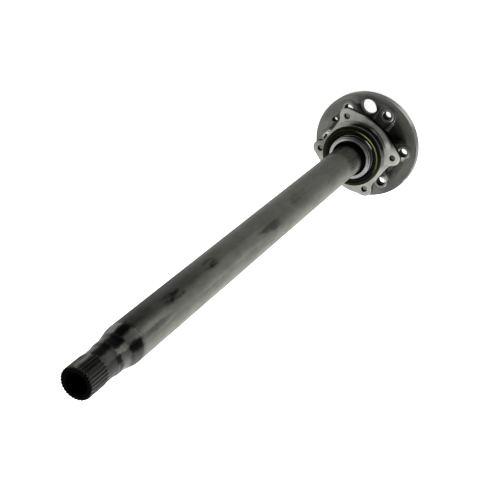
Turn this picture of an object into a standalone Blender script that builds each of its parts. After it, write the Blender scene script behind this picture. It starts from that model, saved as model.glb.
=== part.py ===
"""Rear axle shaft with its wheel flange and its double-row wheel bearing.

The shaft stands on the spigot of its wheel flange, in metres, with +Z along the
shaft towards the splined end. A hollow forged shaft carries two inner rings and
a locking collar. Two rows of caged balls run between them and an outer ring
whose four-eared flange is bolted to the axle tube.

All sizes below are in millimetres. MM turns them into metres where a mesh is made.
"""

import math

import bmesh
import bpy
from mathutils import Matrix

MM = 0.001

# Clearance between faces that touch on the real part.
FIT = 0.3

# Shaft, measured from the face of the spigot.
SHAFT_LENGTH = 839.0
TUBE_RADIUS = 24.5
SEAT_RADIUS = 28.9
SEAT_TAPER = 7.0
BORE_RADIUS = 12.5
BORE_MOUTH_CHAMFER = 1.3
BORE_FLOOR_HEIGHT = 112.0
NECK_RADIUS = 20.2
NECK_LENGTH = 13.0
NECK_CONE_LENGTH = 22.0
NECK_STEP = 4.5

# Splined end.
SPLINE_TEETH = 30
SPLINE_LENGTH = 32.0
SPLINE_TIP_RADIUS = 19.6
SPLINE_TOOTH_HEIGHT = 1.8
SPLINE_RELIEF = 0.75
SPLINE_RELIEF_LENGTH = 16.0
SPLINE_RUNOUT = 5.0
SPLINE_END_CHAMFER = 1.3

# Shares of a tooth's pitch that half its tip and half its root take up.
TIP_SHARE = 0.09
ROOT_SHARE = 0.10

# Where the curved tapers of seat and neck bend, as shares of their drop and of their run.
SEAT_BEND_DROP = 0.7
SEAT_BEND_RUN = 0.45
NECK_BEND_DROP = 0.12
NECK_BEND_RUN = 0.2

# Wheel flange.
FLANGE_RADIUS = 86.5
FLANGE_THICKNESS = 14.5
FLANGE_CHAMFER = 1.4
SPIGOT_RADIUS = 42.0
SPIGOT_HEIGHT = 9.0
RECESS_RADIUS = 31.0
RECESS_DEPTH = 13.0
CENTRE_DRILL_RADIUS = 3.5
CENTRE_DRILL_DEPTH = 6.0
RIM_WIDTH = 16.0
DISH_DEPTH = 6.5
DISH_SLOPE = 13.0
HUB_HEIGHT = 9.5
HUB_SHOULDER = 1.5
HUB_FILLET = 9.0
EDGE_BREAK = 1.0
DISH_SHARES = (0.0, 0.3, 0.7, 1.0)
FILLET_ANGLES = (0, 35, 90)

# Wheel bolt holes, on raised pads that run in to the hub.
LUG_COUNT = 6
LUG_EDGE_DISTANCE = 21.5
LUG_CIRCLE_RADIUS = FLANGE_RADIUS - LUG_EDGE_DISTANCE
LUG_HOLE_RADIUS = 7.0
LUG_PAD_RADIUS = 14.5
LUG_PAD_ROOT_HALF_WIDTH = 12.5
LUG_PAD_HEIGHT = 0.6
LUG_PAD_SINK = 2.6
LUG_BOSS_RADIUS = 11.3
LUG_BOSS_HEIGHT = 0.9
LUG_TURN = math.radians(4.0)
ACCESS_HOLE_RADIUS = 13.4
JACKING_HOLE_RADIUS = 4.3

# Bearing, from the shaft outwards.
BALL_RADIUS = 5.2
BALLS_PER_ROW = 14
ROW_SPACING = 21.0
INNER_WALL = 2.9
OUTER_WALL = 5.5
RACE_CLEARANCE = 0.3
LAND_SETBACK = 2.5
INNER_RING_WIDTH = 25.0
RING_CHAMFER = 0.8
CAGE_WALL = 3.4
CAGE_BACK = 7.5
CAGE_FINGER = 3.5
POCKET_CLEARANCE = 0.35

# Outer ring and its four-eared flange.
OUTER_SETBACK = 4.0
OUTER_STANDOUT = 2.0
SHOULDER_WALL = 2.9
LIP_WALL = 1.2
LIP_LENGTH = 4.5
PILOT_LENGTH = 15.2
STEP_WIDTH = 3.0
STEP_HEIGHT = 2.3
EAR_PLATE_THICKNESS = 9.0
EAR_SPACING_X = 74.0
EAR_SPACING_Y = 97.0
EAR_RADIUS = 12.5
EAR_HOLE_RADIUS = 5.0
EAR_SIDE_OVERHANG = 12.1
EAR_SIDE_HALF_LENGTH = 18.5
WAIST_MARGIN = 1.2
WAIST_FILLET = 14.0

# Seals, O-ring and locking collar.
SEAL_DEPTH = 6.0
SEAL_CASE = 1.2
SEAL_COVER = 1.2
O_RING_SECTION_RADIUS = 3.3
COLLAR_HEIGHT = 11.6
COLLAR_STEP_DEPTH = 3.0
COLLAR_STEP_WIDTH = 1.7
COLLAR_GRIP = 7.0
COLLAR_CHAMFER = 0.7

# How finely round shapes are divided.
FLANGE_SEGMENTS = 52
RING_SEGMENTS = 40
SHAFT_SEGMENTS = 36
SMALL_RING_SEGMENTS = 32
BORE_SEGMENTS = 20
HOLE_SEGMENTS = 16
ACCESS_HOLE_SEGMENTS = 24
JACKING_HOLE_SEGMENTS = 12
POCKET_SEGMENTS = 10
BALL_SUBDIVISIONS = 2
RACE_STEPS = 4
PAD_STEPS = 8
EAR_STEPS = 8
WAIST_STEPS = 4
O_RING_STEPS = 7
SHARP_ANGLE = math.radians(32.0)

# Radii of the bearing, worked out from the seat outwards.
BORE_OF_RINGS = SEAT_RADIUS + FIT
INNER_RACE_RADIUS = BORE_OF_RINGS + INNER_WALL
GROOVE_RADIUS = BALL_RADIUS + RACE_CLEARANCE
PITCH_RADIUS = INNER_RACE_RADIUS + GROOVE_RADIUS
OUTER_RACE_RADIUS = PITCH_RADIUS + GROOVE_RADIUS
INNER_LAND_RADIUS = PITCH_RADIUS - LAND_SETBACK
OUTER_LAND_RADIUS = PITCH_RADIUS + LAND_SETBACK
PILOT_RADIUS = OUTER_RACE_RADIUS + OUTER_WALL
SHOULDER_RADIUS = OUTER_RACE_RADIUS + SHOULDER_WALL
STEP_RADIUS = PILOT_RADIUS + STEP_WIDTH
LIP_RADIUS = OUTER_LAND_RADIUS + LIP_WALL
HUB_RADIUS = INNER_LAND_RADIUS + HUB_SHOULDER

# Heights above the face of the spigot, from the flange to the collar.
FLANGE_FACE = SPIGOT_HEIGHT + FLANGE_THICKNESS
PAD_FACE = FLANGE_FACE + LUG_PAD_HEIGHT
BOSS_FACE = PAD_FACE + LUG_BOSS_HEIGHT
ABUTMENT = FLANGE_FACE + HUB_HEIGHT
RINGS_START = ABUTMENT + FIT
RINGS_MEET = RINGS_START + INNER_RING_WIDTH + FIT / 2
RINGS_END = RINGS_MEET + FIT / 2 + INNER_RING_WIDTH
WHEEL_ROW = RINGS_MEET - ROW_SPACING / 2
TUBE_ROW = RINGS_MEET + ROW_SPACING / 2
OUTER_START = ABUTMENT + OUTER_SETBACK
OUTER_END = RINGS_END + OUTER_STANDOUT
PILOT_END = OUTER_END - LIP_LENGTH
EAR_FACE = PILOT_END - PILOT_LENGTH
EAR_BACK = EAR_FACE - EAR_PLATE_THICKNESS
COLLAR_START = RINGS_END + FIT
COLLAR_END = COLLAR_START + COLLAR_HEIGHT
SEAT_END = COLLAR_START + COLLAR_GRIP


def clear_scene():
    """Removes every object of the open scene."""
    for item in list(bpy.data.objects):
        bpy.data.objects.remove(item, do_unlink=True)


def material(name, colour, roughness, metallic):
    """Returns a Principled material."""
    made = bpy.data.materials.new(name)
    made.use_nodes = True
    shader = made.node_tree.nodes["Principled BSDF"]
    shader.inputs["Base Color"].default_value = (*colour, 1.0)
    shader.inputs["Roughness"].default_value = roughness
    shader.inputs["Metallic"].default_value = metallic
    made.diffuse_color = (*colour, 1.0)
    return made


def circle(radius, height, count, turn=0.0):
    """Returns the points of one ring of a turned shape."""
    step = 2 * math.pi / count
    return [(radius * math.cos(turn + k * step), radius * math.sin(turn + k * step), height)
            for k in range(count)]


def join_rings(mesh, low, high):
    """Fills the band between two rings, which may differ in their number of points."""
    if len(low) == 1 and len(high) == 1:
        return
    if len(low) == len(high):
        for k in range(len(low)):
            after = (k + 1) % len(low)
            mesh.faces.new((low[k], low[after], high[after], high[k]))
        return
    i = j = 0
    low_count = len(low) if len(low) > 1 else 0
    high_count = len(high) if len(high) > 1 else 0
    while i < low_count or j < high_count:
        step_low = j == high_count or (i < low_count and (i + 1) * high_count <= (j + 1) * low_count)
        if step_low:
            mesh.faces.new((low[i % len(low)], low[(i + 1) % len(low)], high[j % len(high)]))
            i += 1
        else:
            mesh.faces.new((low[i % len(low)], high[(j + 1) % len(high)], high[j % len(high)]))
            j += 1


def loft(rings, closed):
    """Returns a mesh through rings of points. A closed loft joins its last ring to its first."""
    mesh = bmesh.new()
    made = [[mesh.verts.new([value * MM for value in point]) for point in ring] for ring in rings]
    for low, high in zip(made, made[1:]):
        join_rings(mesh, low, high)
    if closed:
        join_rings(mesh, made[-1], made[0])
    bmesh.ops.recalc_face_normals(mesh, faces=mesh.faces)
    return mesh


def turned(profile, segments):
    """Returns a turned mesh. Its profile is a loop of radius and height, a radius of 0 is a pole."""
    rings = [circle(radius, height, segments) if radius > 0 else [(0.0, 0.0, height)]
             for radius, height in profile]
    return loft(rings, closed=profile[0][0] > 0)


def prism(outline, low, high):
    """Returns a flat-ended mesh over an outline of X and Y."""
    mesh = bmesh.new()
    floor = [mesh.verts.new((x * MM, y * MM, low * MM)) for x, y in outline]
    roof = [mesh.verts.new((x * MM, y * MM, high * MM)) for x, y in outline]
    mesh.faces.new(floor)
    mesh.faces.new(roof)
    join_rings(mesh, floor, roof)
    bmesh.ops.recalc_face_normals(mesh, faces=mesh.faces)
    return mesh


def arc(centre, radius, start, end, steps):
    """Returns points on an arc, both ends included."""
    return [(centre[0] + radius * math.cos(start + (end - start) * k / steps),
             centre[1] + radius * math.sin(start + (end - start) * k / steps))
            for k in range(steps + 1)]


def add_copies(target, source, placements):
    """Adds a placed copy of one mesh to another for each placement."""
    for placement in placements:
        copy = source.copy()
        bmesh.ops.transform(copy, matrix=placement, verts=copy.verts)
        scratch = bpy.data.meshes.new("scratch")
        copy.to_mesh(scratch)
        copy.free()
        target.from_mesh(scratch)
        bpy.data.meshes.remove(scratch)


def part_object(name, mesh, finish, parent):
    """Makes a named object of a mesh, shaded smooth up to its sharp edges."""
    data = bpy.data.meshes.new(name)
    mesh.to_mesh(data)
    mesh.free()
    data.shade_smooth()
    data.set_sharp_from_angle(angle=SHARP_ANGLE)
    data.materials.append(finish)
    made = bpy.data.objects.new(name, data)
    bpy.context.scene.collection.objects.link(made)
    made.parent = parent
    return made


def combine(body, tool_name, mesh, operation):
    """Joins a hidden tool shape to a body, or cuts it from the body."""
    tool = part_object(tool_name, mesh, body.data.materials[0], body.parent)
    tool.hide_render = True
    tool.display_type = "WIRE"
    modifier = body.modifiers.new(tool_name, "BOOLEAN")
    modifier.operation = operation
    modifier.solver = "EXACT"
    modifier.object = tool


def pivot(name, parent=None):
    """Makes an empty on the shaft's axis, about which one body turns."""
    made = bpy.data.objects.new(name, None)
    bpy.context.scene.collection.objects.link(made)
    made.parent = parent
    return made


def spline_ring(height, tip_radius, root_radius):
    """Returns one ring of the splined end, with two tip points and two root points a tooth."""
    pitch = 2 * math.pi / SPLINE_TEETH
    shares = ((-TIP_SHARE, tip_radius), (TIP_SHARE, tip_radius),
              (0.5 - ROOT_SHARE, root_radius), (0.5 + ROOT_SHARE, root_radius))
    return [(radius * math.cos((tooth + share) * pitch), radius * math.sin((tooth + share) * pitch), height)
            for tooth in range(SPLINE_TEETH) for share, radius in shares]


def shaft_mesh():
    """Returns the shaft from inside its hub to its splined end, with its long bore."""
    root = SPLINE_TIP_RADIUS - SPLINE_TOOTH_HEIGHT
    relieved = SPLINE_TIP_RADIUS - SPLINE_RELIEF
    spline_start = SHAFT_LENGTH - SPLINE_LENGTH
    relief_start = spline_start - SPLINE_RELIEF_LENGTH
    neck_top = relief_start - NECK_STEP
    neck_bottom = neck_top - NECK_LENGTH
    cone_bottom = neck_bottom - NECK_CONE_LENGTH
    foot = (RECESS_DEPTH + ABUTMENT) / 2
    outside = [(0.0, foot), (SEAT_RADIUS, foot),
               (SEAT_RADIUS, SEAT_END),
               (SEAT_RADIUS - (SEAT_RADIUS - TUBE_RADIUS) * SEAT_BEND_DROP,
                SEAT_END + SEAT_TAPER * SEAT_BEND_RUN),
               (TUBE_RADIUS, SEAT_END + SEAT_TAPER),
               (TUBE_RADIUS, cone_bottom),
               (TUBE_RADIUS - (TUBE_RADIUS - NECK_RADIUS) * NECK_BEND_DROP,
                cone_bottom + NECK_CONE_LENGTH * NECK_BEND_RUN),
               (NECK_RADIUS, neck_bottom),
               (NECK_RADIUS, neck_top),
               (relieved, relief_start),
               (relieved, spline_start)]
    rings = [circle(radius, height, SHAFT_SEGMENTS) if radius > 0 else [(0.0, 0.0, height)]
             for radius, height in outside]
    rings += [spline_ring(spline_start + FIT, relieved, relieved),
              spline_ring(spline_start + SPLINE_RUNOUT, SPLINE_TIP_RADIUS, root),
              spline_ring(SHAFT_LENGTH - SPLINE_END_CHAMFER, SPLINE_TIP_RADIUS, root),
              spline_ring(SHAFT_LENGTH, SPLINE_TIP_RADIUS - SPLINE_END_CHAMFER, root)]
    mouth = BORE_RADIUS + BORE_MOUTH_CHAMFER
    rings += [circle(mouth, SHAFT_LENGTH, BORE_SEGMENTS),
              circle(BORE_RADIUS, SHAFT_LENGTH - BORE_MOUTH_CHAMFER, BORE_SEGMENTS),
              circle(BORE_RADIUS, BORE_FLOOR_HEIGHT, BORE_SEGMENTS),
              [(0.0, 0.0, BORE_FLOOR_HEIGHT - BORE_RADIUS / 2)]]
    return loft(rings, closed=False)


def flange_mesh():
    """Returns the turned blank of the wheel flange, with spigot, recess, dish and hub."""
    rim_inside = FLANGE_RADIUS - RIM_WIDTH
    floor = FLANGE_FACE - DISH_DEPTH
    fillet_radius = min(HUB_FILLET, rim_inside - DISH_SLOPE - HUB_RADIUS)
    dish = [(rim_inside - DISH_SLOPE * share, FLANGE_FACE - DISH_DEPTH * share ** 2 * (3 - 2 * share))
            for share in DISH_SHARES]
    fillet = [(HUB_RADIUS + fillet_radius * (1 - math.sin(turn)),
               floor + fillet_radius * (1 - math.cos(turn)))
              for turn in [math.radians(angle) for angle in FILLET_ANGLES]]
    profile = [(0.0, RECESS_DEPTH + CENTRE_DRILL_DEPTH),
               (CENTRE_DRILL_RADIUS, RECESS_DEPTH),
               (RECESS_RADIUS, RECESS_DEPTH),
               (RECESS_RADIUS, EDGE_BREAK),
               (RECESS_RADIUS + EDGE_BREAK, 0.0),
               (SPIGOT_RADIUS - EDGE_BREAK, 0.0),
               (SPIGOT_RADIUS, EDGE_BREAK),
               (SPIGOT_RADIUS, SPIGOT_HEIGHT),
               (FLANGE_RADIUS - EDGE_BREAK, SPIGOT_HEIGHT),
               (FLANGE_RADIUS, SPIGOT_HEIGHT + EDGE_BREAK),
               (FLANGE_RADIUS, FLANGE_FACE - FLANGE_CHAMFER),
               (FLANGE_RADIUS - FLANGE_CHAMFER, FLANGE_FACE)]
    profile += dish + fillet
    profile += [(HUB_RADIUS, ABUTMENT - EDGE_BREAK), (HUB_RADIUS - EDGE_BREAK, ABUTMENT), (0.0, ABUTMENT)]
    return turned(profile, FLANGE_SEGMENTS)


def around(count, radius, turn):
    """Returns placements spaced evenly on a circle about the shaft, each turned to face outwards."""
    return [Matrix.Rotation(turn + 2 * math.pi * k / count, 4, "Z") @ Matrix.Translation((radius * MM, 0, 0))
            for k in range(count)]


def pads_mesh():
    """Returns the raised pads of the wheel bolt holes, each with a round end about its hole."""
    root_depth = HUB_RADIUS - EDGE_BREAK - LUG_CIRCLE_RADIUS
    outline = arc((0.0, 0.0), LUG_PAD_RADIUS, -math.pi / 2, math.pi / 2, PAD_STEPS)
    outline += [(root_depth, LUG_PAD_ROOT_HALF_WIDTH), (root_depth, -LUG_PAD_ROOT_HALF_WIDTH)]
    mesh = bmesh.new()
    add_copies(mesh, prism(outline, FLANGE_FACE - DISH_DEPTH - LUG_PAD_SINK, PAD_FACE),
               around(LUG_COUNT, LUG_CIRCLE_RADIUS, LUG_TURN))
    return mesh


def bosses_mesh():
    """Returns the low round bosses on the pads, faced flat for the heads of the wheel bolts."""
    sunk = PAD_FACE - LUG_BOSS_HEIGHT
    boss = turned([(0.0, sunk), (LUG_BOSS_RADIUS, sunk), (LUG_BOSS_RADIUS, PAD_FACE),
                   (LUG_BOSS_RADIUS - LUG_BOSS_HEIGHT, BOSS_FACE), (0.0, BOSS_FACE)], HOLE_SEGMENTS)
    mesh = bmesh.new()
    add_copies(mesh, boss, around(LUG_COUNT, LUG_CIRCLE_RADIUS, LUG_TURN))
    return mesh


def flange_holes_mesh():
    """Returns the cutters of the wheel bolt holes, the access hole and the tapped jacking hole."""
    low = SPIGOT_HEIGHT - EDGE_BREAK
    high = BOSS_FACE + EDGE_BREAK
    mesh = bmesh.new()
    bolt = turned([(0.0, low), (LUG_HOLE_RADIUS, low), (LUG_HOLE_RADIUS, high), (0.0, high)], HOLE_SEGMENTS)
    add_copies(mesh, bolt, around(LUG_COUNT, LUG_CIRCLE_RADIUS, LUG_TURN))
    half_step = math.pi / LUG_COUNT
    access = turned([(0.0, low), (ACCESS_HOLE_RADIUS, low), (ACCESS_HOLE_RADIUS, high), (0.0, high)],
                    ACCESS_HOLE_SEGMENTS)
    add_copies(mesh, access, around(1, LUG_CIRCLE_RADIUS, LUG_TURN + half_step))
    jacking = turned([(0.0, low), (JACKING_HOLE_RADIUS, low), (JACKING_HOLE_RADIUS, high), (0.0, high)],
                     JACKING_HOLE_SEGMENTS)
    add_copies(mesh, jacking, around(1, LUG_CIRCLE_RADIUS, LUG_TURN + 3 * half_step))
    return mesh


def build_axle_shaft(finish, parent):
    """Makes the one-piece forging of wheel flange, hub and splined shaft."""
    body = part_object("axle_shaft", flange_mesh(), finish, parent)
    combine(body, "lug_pads", pads_mesh(), "UNION")
    combine(body, "lug_bosses", bosses_mesh(), "UNION")
    combine(body, "shaft_blank", shaft_mesh(), "UNION")
    combine(body, "flange_holes", flange_holes_mesh(), "DIFFERENCE")


def groove(row, centre_side):
    """Returns the points of a ball groove, as radius and height, from low to high.

    centre_side is -1 for a groove that opens outwards, round the inner ring, and
    1 for one that opens inwards, in the outer ring.
    """
    half = math.acos(LAND_SETBACK / GROOVE_RADIUS)
    angles = [-half + 2 * half * k / RACE_STEPS for k in range(RACE_STEPS + 1)]
    return [(PITCH_RADIUS + centre_side * GROOVE_RADIUS * math.cos(angle),
             row + GROOVE_RADIUS * math.sin(angle))
            for angle in angles]


def build_inner_ring(name, start, row, finish, parent):
    """Makes one inner ring with its ball groove and broken corners."""
    end = start + INNER_RING_WIDTH
    profile = [(BORE_OF_RINGS, end - RING_CHAMFER), (BORE_OF_RINGS, start + RING_CHAMFER),
               (BORE_OF_RINGS + RING_CHAMFER, start), (INNER_LAND_RADIUS, start)]
    profile += groove(row, -1)
    profile += [(INNER_LAND_RADIUS, end), (BORE_OF_RINGS + RING_CHAMFER, end)]
    part_object(name, turned(profile, SMALL_RING_SEGMENTS), finish, parent)


def ear_outline():
    """Returns the outline of the four-eared flange: two waists, four round ears, two full sides."""
    ear = (EAR_SPACING_X / 2, EAR_SPACING_Y / 2)
    side = (PILOT_RADIUS + EAR_SIDE_OVERHANG, EAR_SIDE_HALF_LENGTH)
    reach = math.dist(side, ear)
    from_side = math.atan2(side[1] - ear[1], side[0] - ear[0]) + math.acos(EAR_RADIUS / reach)
    waist = STEP_RADIUS + WAIST_MARGIN
    fillet_y = waist + WAIST_FILLET
    fillet_x = ear[0] - math.sqrt((WAIST_FILLET + EAR_RADIUS) ** 2 - (fillet_y - ear[1]) ** 2)
    to_waist = math.atan2(fillet_y - ear[1], fillet_x - ear[0])
    quarter = [side]
    quarter += arc(ear, EAR_RADIUS, from_side, to_waist, EAR_STEPS)
    quarter += arc((fillet_x, fillet_y), WAIST_FILLET, to_waist - math.pi, -math.pi / 2, WAIST_STEPS)[1:]
    upper = quarter + [(-x, y) for x, y in reversed(quarter)]
    return upper + [(-x, -y) for x, y in upper]


def build_outer_ring(finish, parent):
    """Makes the outer ring: ear plate, stepped pilot, lip, two ball grooves and four bolt holes."""
    outside = [(0.0, OUTER_START),
               (SHOULDER_RADIUS - RING_CHAMFER, OUTER_START),
               (SHOULDER_RADIUS, OUTER_START + RING_CHAMFER),
               (SHOULDER_RADIUS, EAR_BACK + EDGE_BREAK),
               (STEP_RADIUS, EAR_BACK + EDGE_BREAK),
               (STEP_RADIUS, EAR_FACE + STEP_HEIGHT - EDGE_BREAK),
               (STEP_RADIUS - EDGE_BREAK, EAR_FACE + STEP_HEIGHT),
               (PILOT_RADIUS, EAR_FACE + STEP_HEIGHT),
               (PILOT_RADIUS, PILOT_END - RING_CHAMFER),
               (PILOT_RADIUS - RING_CHAMFER, PILOT_END),
               (LIP_RADIUS, PILOT_END),
               (LIP_RADIUS, OUTER_END),
               (0.0, OUTER_END)]
    body = part_object("flanged_outer_ring", turned(outside, RING_SEGMENTS), finish, parent)
    combine(body, "ear_plate", prism(ear_outline(), EAR_BACK, EAR_FACE), "UNION")
    bore = [(0.0, OUTER_START - EDGE_BREAK), (OUTER_LAND_RADIUS, OUTER_START - EDGE_BREAK)]
    bore += groove(WHEEL_ROW, 1) + groove(TUBE_ROW, 1)
    bore += [(OUTER_LAND_RADIUS, OUTER_END + EDGE_BREAK), (0.0, OUTER_END + EDGE_BREAK)]
    combine(body, "bearing_bore", turned(bore, RING_SEGMENTS), "DIFFERENCE")
    hole = turned([(0.0, EAR_BACK - EDGE_BREAK), (EAR_HOLE_RADIUS, EAR_BACK - EDGE_BREAK),
                   (EAR_HOLE_RADIUS, EAR_FACE + EDGE_BREAK), (0.0, EAR_FACE + EDGE_BREAK)], HOLE_SEGMENTS)
    holes = bmesh.new()
    add_copies(holes, hole, [Matrix.Translation((x * EAR_SPACING_X / 2 * MM, y * EAR_SPACING_Y / 2 * MM, 0))
                             for x in (-1, 1) for y in (-1, 1)])
    combine(body, "ear_holes", holes, "DIFFERENCE")


def build_ball_row(label, row, inwards, finish, cage_finish, parent):
    """Makes one row of balls and its snap cage. inwards is 1 where the cage's back lies above the row."""
    ball = bmesh.new()
    bmesh.ops.create_icosphere(ball, subdivisions=BALL_SUBDIVISIONS, radius=BALL_RADIUS * MM)
    shared = bpy.data.meshes.new("ball")
    ball.to_mesh(shared)
    ball.free()
    shared.shade_smooth()
    shared.materials.append(finish)
    for k, place in enumerate(around(BALLS_PER_ROW, PITCH_RADIUS, 0.0)):
        made = bpy.data.objects.new(f"ball_{label}_{k + 1:02d}", shared)
        bpy.context.scene.collection.objects.link(made)
        made.parent = parent
        made.matrix_local = Matrix.Translation((0, 0, row * MM)) @ place
    back = row + inwards * CAGE_BACK
    front = row - inwards * CAGE_FINGER
    inside = PITCH_RADIUS - CAGE_WALL / 2
    outside = PITCH_RADIUS + CAGE_WALL / 2
    half_pitch = math.pi / BALLS_PER_ROW
    rings = [circle(radius, height, 2 * BALLS_PER_ROW, half_pitch / 2)
             for radius, height in ((inside, front), (outside, front), (outside, back), (inside, back))]
    cage = part_object(f"cage_{label}", loft(rings, closed=True), cage_finish, parent)
    pocket_radius = (BALL_RADIUS + POCKET_CLEARANCE) / math.cos(math.pi / POCKET_SEGMENTS)
    pocket = turned([(0.0, -CAGE_WALL), (pocket_radius, -CAGE_WALL),
                     (pocket_radius, CAGE_WALL), (0.0, CAGE_WALL)], POCKET_SEGMENTS)
    lying = Matrix.Rotation(math.pi / 2, 4, "Y")
    pockets = bmesh.new()
    add_copies(pockets, pocket, [Matrix.Translation((0, 0, row * MM)) @ place @ lying
                                 for place in around(BALLS_PER_ROW, PITCH_RADIUS, 0.0)])
    combine(cage, f"pockets_{label}", pockets, "DIFFERENCE")


def build_seal(name, mouth, outwards, finish, parent):
    """Makes one lip seal. mouth is the end face of the outer ring, outwards is 1 where it faces up."""
    case = OUTER_LAND_RADIUS - FIT
    lip = INNER_LAND_RADIUS + FIT
    cover = LIP_RADIUS - FIT
    inner_end = mouth - outwards * SEAL_DEPTH
    cover_back = mouth + outwards * FIT
    cover_face = cover_back + outwards * SEAL_COVER
    web = mouth - outwards * SEAL_CASE
    profile = [(case, inner_end), (case, cover_back), (cover, cover_back), (cover, cover_face),
               (case - SEAL_CASE, cover_face), (lip, web), (lip, inner_end + outwards * SEAL_CASE),
               (lip + SEAL_CASE, web - outwards * SEAL_CASE), (case - SEAL_CASE, web - outwards * SEAL_CASE),
               (case - SEAL_CASE, inner_end)]
    part_object(name, turned(profile, SMALL_RING_SEGMENTS), finish, parent)


def build_o_ring(finish, parent):
    """Makes the O-ring that lies in the corner between the pilot's end and the lip."""
    centre = (LIP_RADIUS + FIT + O_RING_SECTION_RADIUS, PILOT_END + FIT + O_RING_SECTION_RADIUS)
    section = arc(centre, O_RING_SECTION_RADIUS, 0.0, 2 * math.pi, O_RING_STEPS)[:-1]
    part_object("o_ring", turned(section, RING_SEGMENTS), finish, parent)


def build_locking_collar(finish, parent):
    """Makes the stepped collar that is pressed on the shaft and holds the inner rings."""
    outside = INNER_LAND_RADIUS
    step = COLLAR_END - COLLAR_STEP_DEPTH
    upper = outside - COLLAR_STEP_WIDTH
    profile = [(BORE_OF_RINGS, COLLAR_END - COLLAR_CHAMFER), (BORE_OF_RINGS, COLLAR_START),
               (outside - COLLAR_CHAMFER, COLLAR_START), (outside, COLLAR_START + COLLAR_CHAMFER),
               (outside, step - COLLAR_CHAMFER), (outside - COLLAR_CHAMFER, step), (upper, step),
               (upper, COLLAR_END - COLLAR_CHAMFER), (upper - COLLAR_CHAMFER, COLLAR_END),
               (BORE_OF_RINGS + COLLAR_CHAMFER, COLLAR_END)]
    part_object("locking_collar", turned(profile, SHAFT_SEGMENTS), finish, parent)


def main():
    """Builds the whole part."""
    clear_scene()
    forging = material("phosphated_forging", (0.082, 0.084, 0.068), 0.48, 0.75)
    ring_steel = material("ground_ring_steel", (0.45, 0.45, 0.42), 0.32, 0.9)
    collar_steel = material("turned_collar_steel", (0.52, 0.52, 0.50), 0.30, 0.9)
    ball_steel = material("ball_steel", (0.62, 0.62, 0.62), 0.12, 1.0)
    cage_plastic = material("cage_polyamide", (0.55, 0.50, 0.38), 0.5, 0.0)
    seal_rubber = material("seal_rubber", (0.012, 0.012, 0.012), 0.35, 0.0)
    o_ring_rubber = material("o_ring_rubber", (0.055, 0.065, 0.008), 0.3, 0.0)

    axle = pivot("axle")
    housing = pivot("housing", axle)
    wheel_row = pivot("wheel_side_balls", axle)
    tube_row = pivot("tube_side_balls", axle)

    build_axle_shaft(forging, axle)
    build_inner_ring("inner_ring_wheel_side", RINGS_START, WHEEL_ROW, ring_steel, axle)
    build_inner_ring("inner_ring_tube_side", RINGS_MEET + FIT / 2, TUBE_ROW, ring_steel, axle)
    build_locking_collar(collar_steel, axle)
    build_outer_ring(ring_steel, housing)
    build_seal("seal_wheel_side", OUTER_START, -1, seal_rubber, housing)
    build_seal("seal_tube_side", OUTER_END, 1, seal_rubber, housing)
    build_o_ring(o_ring_rubber, housing)
    build_ball_row("wheel_side", WHEEL_ROW, 1, ball_steel, cage_plastic, wheel_row)
    build_ball_row("tube_side", TUBE_ROW, -1, ball_steel, cage_plastic, tube_row)


main()
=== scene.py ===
"""Studio view of a rear axle shaft with its wheel flange and its sealed double-row bearing.

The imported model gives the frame: the shaft stands on the spigot of its wheel flange,
with +Z along the shaft. Sizes are in millimetres unless a comment or a docstring says
otherwise, and MM turns them into metres where a mesh or a mask is made.
"""

import logging
import math
from dataclasses import dataclass, field
from enum import Enum
from functools import reduce
from typing import Callable, Iterable, Sequence

import bmesh
import bpy
from mathutils import Matrix, Vector, noise


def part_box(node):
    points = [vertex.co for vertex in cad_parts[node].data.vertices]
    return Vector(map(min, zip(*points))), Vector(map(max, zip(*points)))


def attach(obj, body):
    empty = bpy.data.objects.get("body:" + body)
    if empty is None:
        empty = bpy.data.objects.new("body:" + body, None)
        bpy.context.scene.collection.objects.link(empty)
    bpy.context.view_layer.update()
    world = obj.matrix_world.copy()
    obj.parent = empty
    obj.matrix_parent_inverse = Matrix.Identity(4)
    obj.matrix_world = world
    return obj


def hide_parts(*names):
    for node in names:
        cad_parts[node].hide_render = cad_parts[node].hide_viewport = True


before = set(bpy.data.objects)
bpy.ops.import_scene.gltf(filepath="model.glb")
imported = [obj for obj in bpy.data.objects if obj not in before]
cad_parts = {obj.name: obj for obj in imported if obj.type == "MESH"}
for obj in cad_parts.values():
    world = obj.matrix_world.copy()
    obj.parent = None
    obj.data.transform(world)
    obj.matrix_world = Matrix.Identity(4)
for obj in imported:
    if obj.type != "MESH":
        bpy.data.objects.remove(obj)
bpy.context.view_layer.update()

MM = 0.001
SHARP_ANGLE = math.radians(38.0)
CORNER_SHARE = 0.42

# Sizes and places that more than one class uses. OVERSHOOT is how far a cutter reaches past a face.
OVERSHOOT = 1.0
LUG_COUNT = 6
LUG_CIRCLE = 65.0
LUG_TURN = math.radians(4.0)
LUG_STEP = 2.0 * math.pi / LUG_COUNT
ACCESS_STEPS = 0.5
TAPPED_STEPS = 1.5
BALL_ROWS = (47.95, 68.95)
PITCH_RADIUS = 37.6
GROOVE_RADIUS = 5.5
BEARING_HEIGHTS = (30.0, 100.0)

# Values of the materials, with lengths in metres and angles in degrees
WHITE = (1.0, 1.0, 1.0, 1.0)
ALL_ROUND = 180.0
EDGE_WAVER = (0.005, 0.005, 0.010)
FINE_DEPTH = 0.00006

Point = tuple[float, float, float]
Pair = tuple[float, float]
Outline = list[Pair]
Colour = tuple[float, float, float]
Cloud = tuple[float, float, float]
Mesh = bmesh.types.BMesh
Socket = bpy.types.NodeSocket
Material = bpy.types.Material
Object = bpy.types.Object

log = logging.getLogger("axle_shaft")


class Body(Enum):
    """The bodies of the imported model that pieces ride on."""

    AXLE = "axle"
    HOUSING = "housing"
    WHEEL_ROW = "wheel_side_balls"
    TUBE_ROW = "tube_side_balls"


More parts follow.
